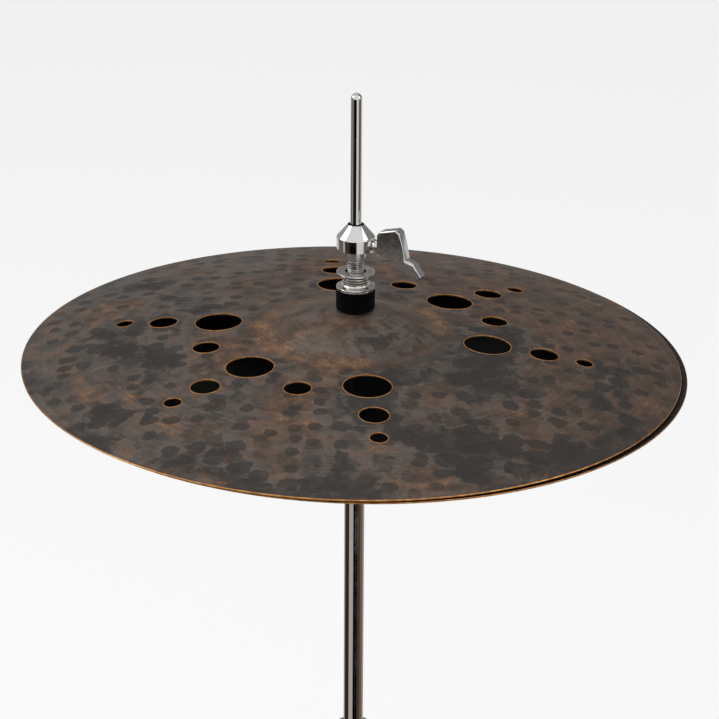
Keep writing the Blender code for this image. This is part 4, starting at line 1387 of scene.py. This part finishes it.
@dataclass
class Studio:
    """A pale floor, soft light and the camera."""

    lens: float = 133.77
    distance: float = 1.6534
    elevation: float = 22.412
    yaw: float = -0.093
    pitch: float = 0.008
    roll: float = 0.3125
    floor_colour: str = "#a8a8a8"
    floor_glow: float = 0.62
    top_row: tuple[tuple[float, str], ...] = (
        (-180, "#868686"), (-116, "#b8b8b8"), (-112, "#101010"), (-92, "#101010"),
        (-88, "#c8c8c8"), (-60, "#ffffff"), (60, "#ffffff"), (90, "#909090"),
        (180, "#868686"))
    middle_row: tuple[tuple[float, str], ...] = (
        (-180, "#e8e8e8"), (-122, "#e0e0e0"), (-118, "#7a736d"), (-80, "#6e6762"),
        (-77, "#d0c8c2"), (-68, "#c8c0ba"), (-65, "#45403c"), (-37, "#3c3733"),
        (-34, "#020202"), (3, "#020202"), (8, "#f4f2f0"), (44, "#eae8e6"), (50, "#6e665f"),
        (98, "#6a6058"), (105, "#e0e0e0"), (180, "#e8e8e8"))
    low_row: tuple[tuple[float, str], ...] = (
        (-180, "#c8c8c8"), (-128, "#a8a29c"), (-122, "#4a3f37"), (-90, "#2c2825"),
        (-62, "#3a332e"), (-57, "#c8c2bc"), (-12, "#c0bbb6"), (-9, "#010101"),
        (12, "#020202"), (15, "#3c2f26"), (19, "#050505"), (34, "#0c0a09"), (40, "#4a3f38"),
        (75, "#54473d"), (82, "#9a7c62"), (95, "#5c5048"), (125, "#b0a8a2"),
        (180, "#c8c8c8"))

    def build_camera(self) -> None:
        """Add the camera, in front on the pedal's side and looking down on the cymbals."""
        data = bpy.data.cameras.new("camera")
        data.lens = self.lens
        data.sensor_width = 36
        data.clip_end = 100
        camera = in_scene("camera", data)
        tilt = math.radians(self.elevation)
        position = Vector((0, -math.cos(tilt), math.sin(tilt))) * self.distance
        look = Matrix.Rotation(math.pi / 2 - tilt, 4, "X")
        look = look @ Matrix.Rotation(math.radians(self.yaw), 4, "Y")
        look = look @ Matrix.Rotation(-math.radians(self.pitch), 4, "X")
        look = look @ Matrix.Rotation(math.radians(self.roll), 4, "Z")
        camera.matrix_world = Matrix.Translation(position + Vector((0, 0, RIM_Z))) @ look
        bpy.context.scene.camera = camera

    def build_floor(self) -> None:
        """Add the floor: matt, lit a little from below, and not mirrored in the chrome."""
        shape = bmesh.new()
        bmesh.ops.create_grid(shape, x_segments=1, y_segments=1, size=30)
        mesh = mesh_of("floor", shape)
        material = bpy.data.materials.new("painted_studio_floor")
        material.use_nodes = True
        shader = material.node_tree.nodes["Principled BSDF"]
        shader.inputs["Base Color"].default_value = linear(self.floor_colour)
        shader.inputs["Roughness"].default_value = 0.9
        shader.inputs["Specular IOR Level"].default_value = 0.1
        shader.inputs["Emission Color"].default_value = (1.0, 1.0, 1.0, 1.0)
        shader.inputs["Emission Strength"].default_value = self.floor_glow
        mesh.materials.append(material)
        floor = in_scene("floor", mesh)
        floor.location.z = -0.2 * MM
        floor.visible_glossy = False

    def build_world(self) -> None:
        """Surround the stand with soft boxes and dark gaps, in three rows, for the chrome.

        The top row lights the clutch's cone and the cymbals, the middle one is mirrored in the
        rod and the clutch, and the lowest in the tubes under the cymbals.
        """
        world = bpy.data.worlds.new("studio")
        bpy.context.scene.world = world
        world.use_nodes = True
        tree = world.node_tree
        coords = add_node(tree, "TexCoord")
        split = add_node(tree, "SeparateXYZ", {0: coords.outputs["Generated"]})
        toward = calculate(tree, "MULTIPLY", split.outputs[1], -1.0)
        azimuth = calculate(tree, "ARCTAN2", split.outputs[0], toward)
        share = calculate(tree, "ADD", calculate(tree, "DIVIDE", azimuth, 2 * math.pi), 0.5)
        rows = [self.row(tree, share, stops) for stops in (self.low_row, self.middle_row,
                                                           self.top_row)]
        middle = spread(tree, split.outputs[2], -0.41, -0.39, 0.0, 1.0)
        top = spread(tree, split.outputs[2], -0.12, 0.02, 0.0, 1.0)
        around = blend_colours(tree, middle, rows[0], rows[1])
        around = blend_colours(tree, top, around, rows[2])
        path = add_node(tree, "LightPath")
        shown = blend_colours(tree, path.outputs["Is Camera Ray"], around, linear("#f7f7f7"))
        background = tree.nodes["Background"]
        tree.links.new(shown, background.inputs["Color"])

    def row(self, tree: Tree, share: Socket,
            stops: tuple[tuple[float, str], ...]) -> Socket:
        """Return one row's colour, from (degrees from the camera's side, colour) stops."""
        ramp = add_node(tree, "ValToRGB", {0: share})
        elements = ramp.color_ramp.elements
        elements[0].position = stops[0][0] / 360 + 0.5
        elements[1].position = stops[-1][0] / 360 + 0.5
        for degrees, _ in stops[1:-1]:
            elements.new(degrees / 360 + 0.5)
        for element, (_, colour) in zip(elements, stops):
            element.color = linear(colour)
        return ramp.outputs[0]

    def build(self) -> None:
        """Build the studio."""
        self.build_camera()
        self.build_floor()
        self.build_world()
        SoftBox("key_left", (-2.4, 0.2, 2.6), 1.6, 1.6, 30).build()
        SoftBox("fill_right", (2.4, -0.6, 2.4), 1.2, 1.6, 10).build()
        SoftBox("overhead", (0.0, 1.2, 3.4), 2.6, 2.0, 10).build()
        bpy.context.scene.view_settings.view_transform = "Standard"


def main() -> None:
    """Build the sub-assemblies in order."""
    logging.basicConfig(level=logging.INFO, format="%(message)s")
    for assembly in (Studio(), Cymbals(), Clutch(), Rod(), StandTubes(), Seat(), Pedal(),
                     Tripod()):
        log.info("building %s", type(assembly).__name__)
        assembly.build()


if __name__ == "__main__":
    main()
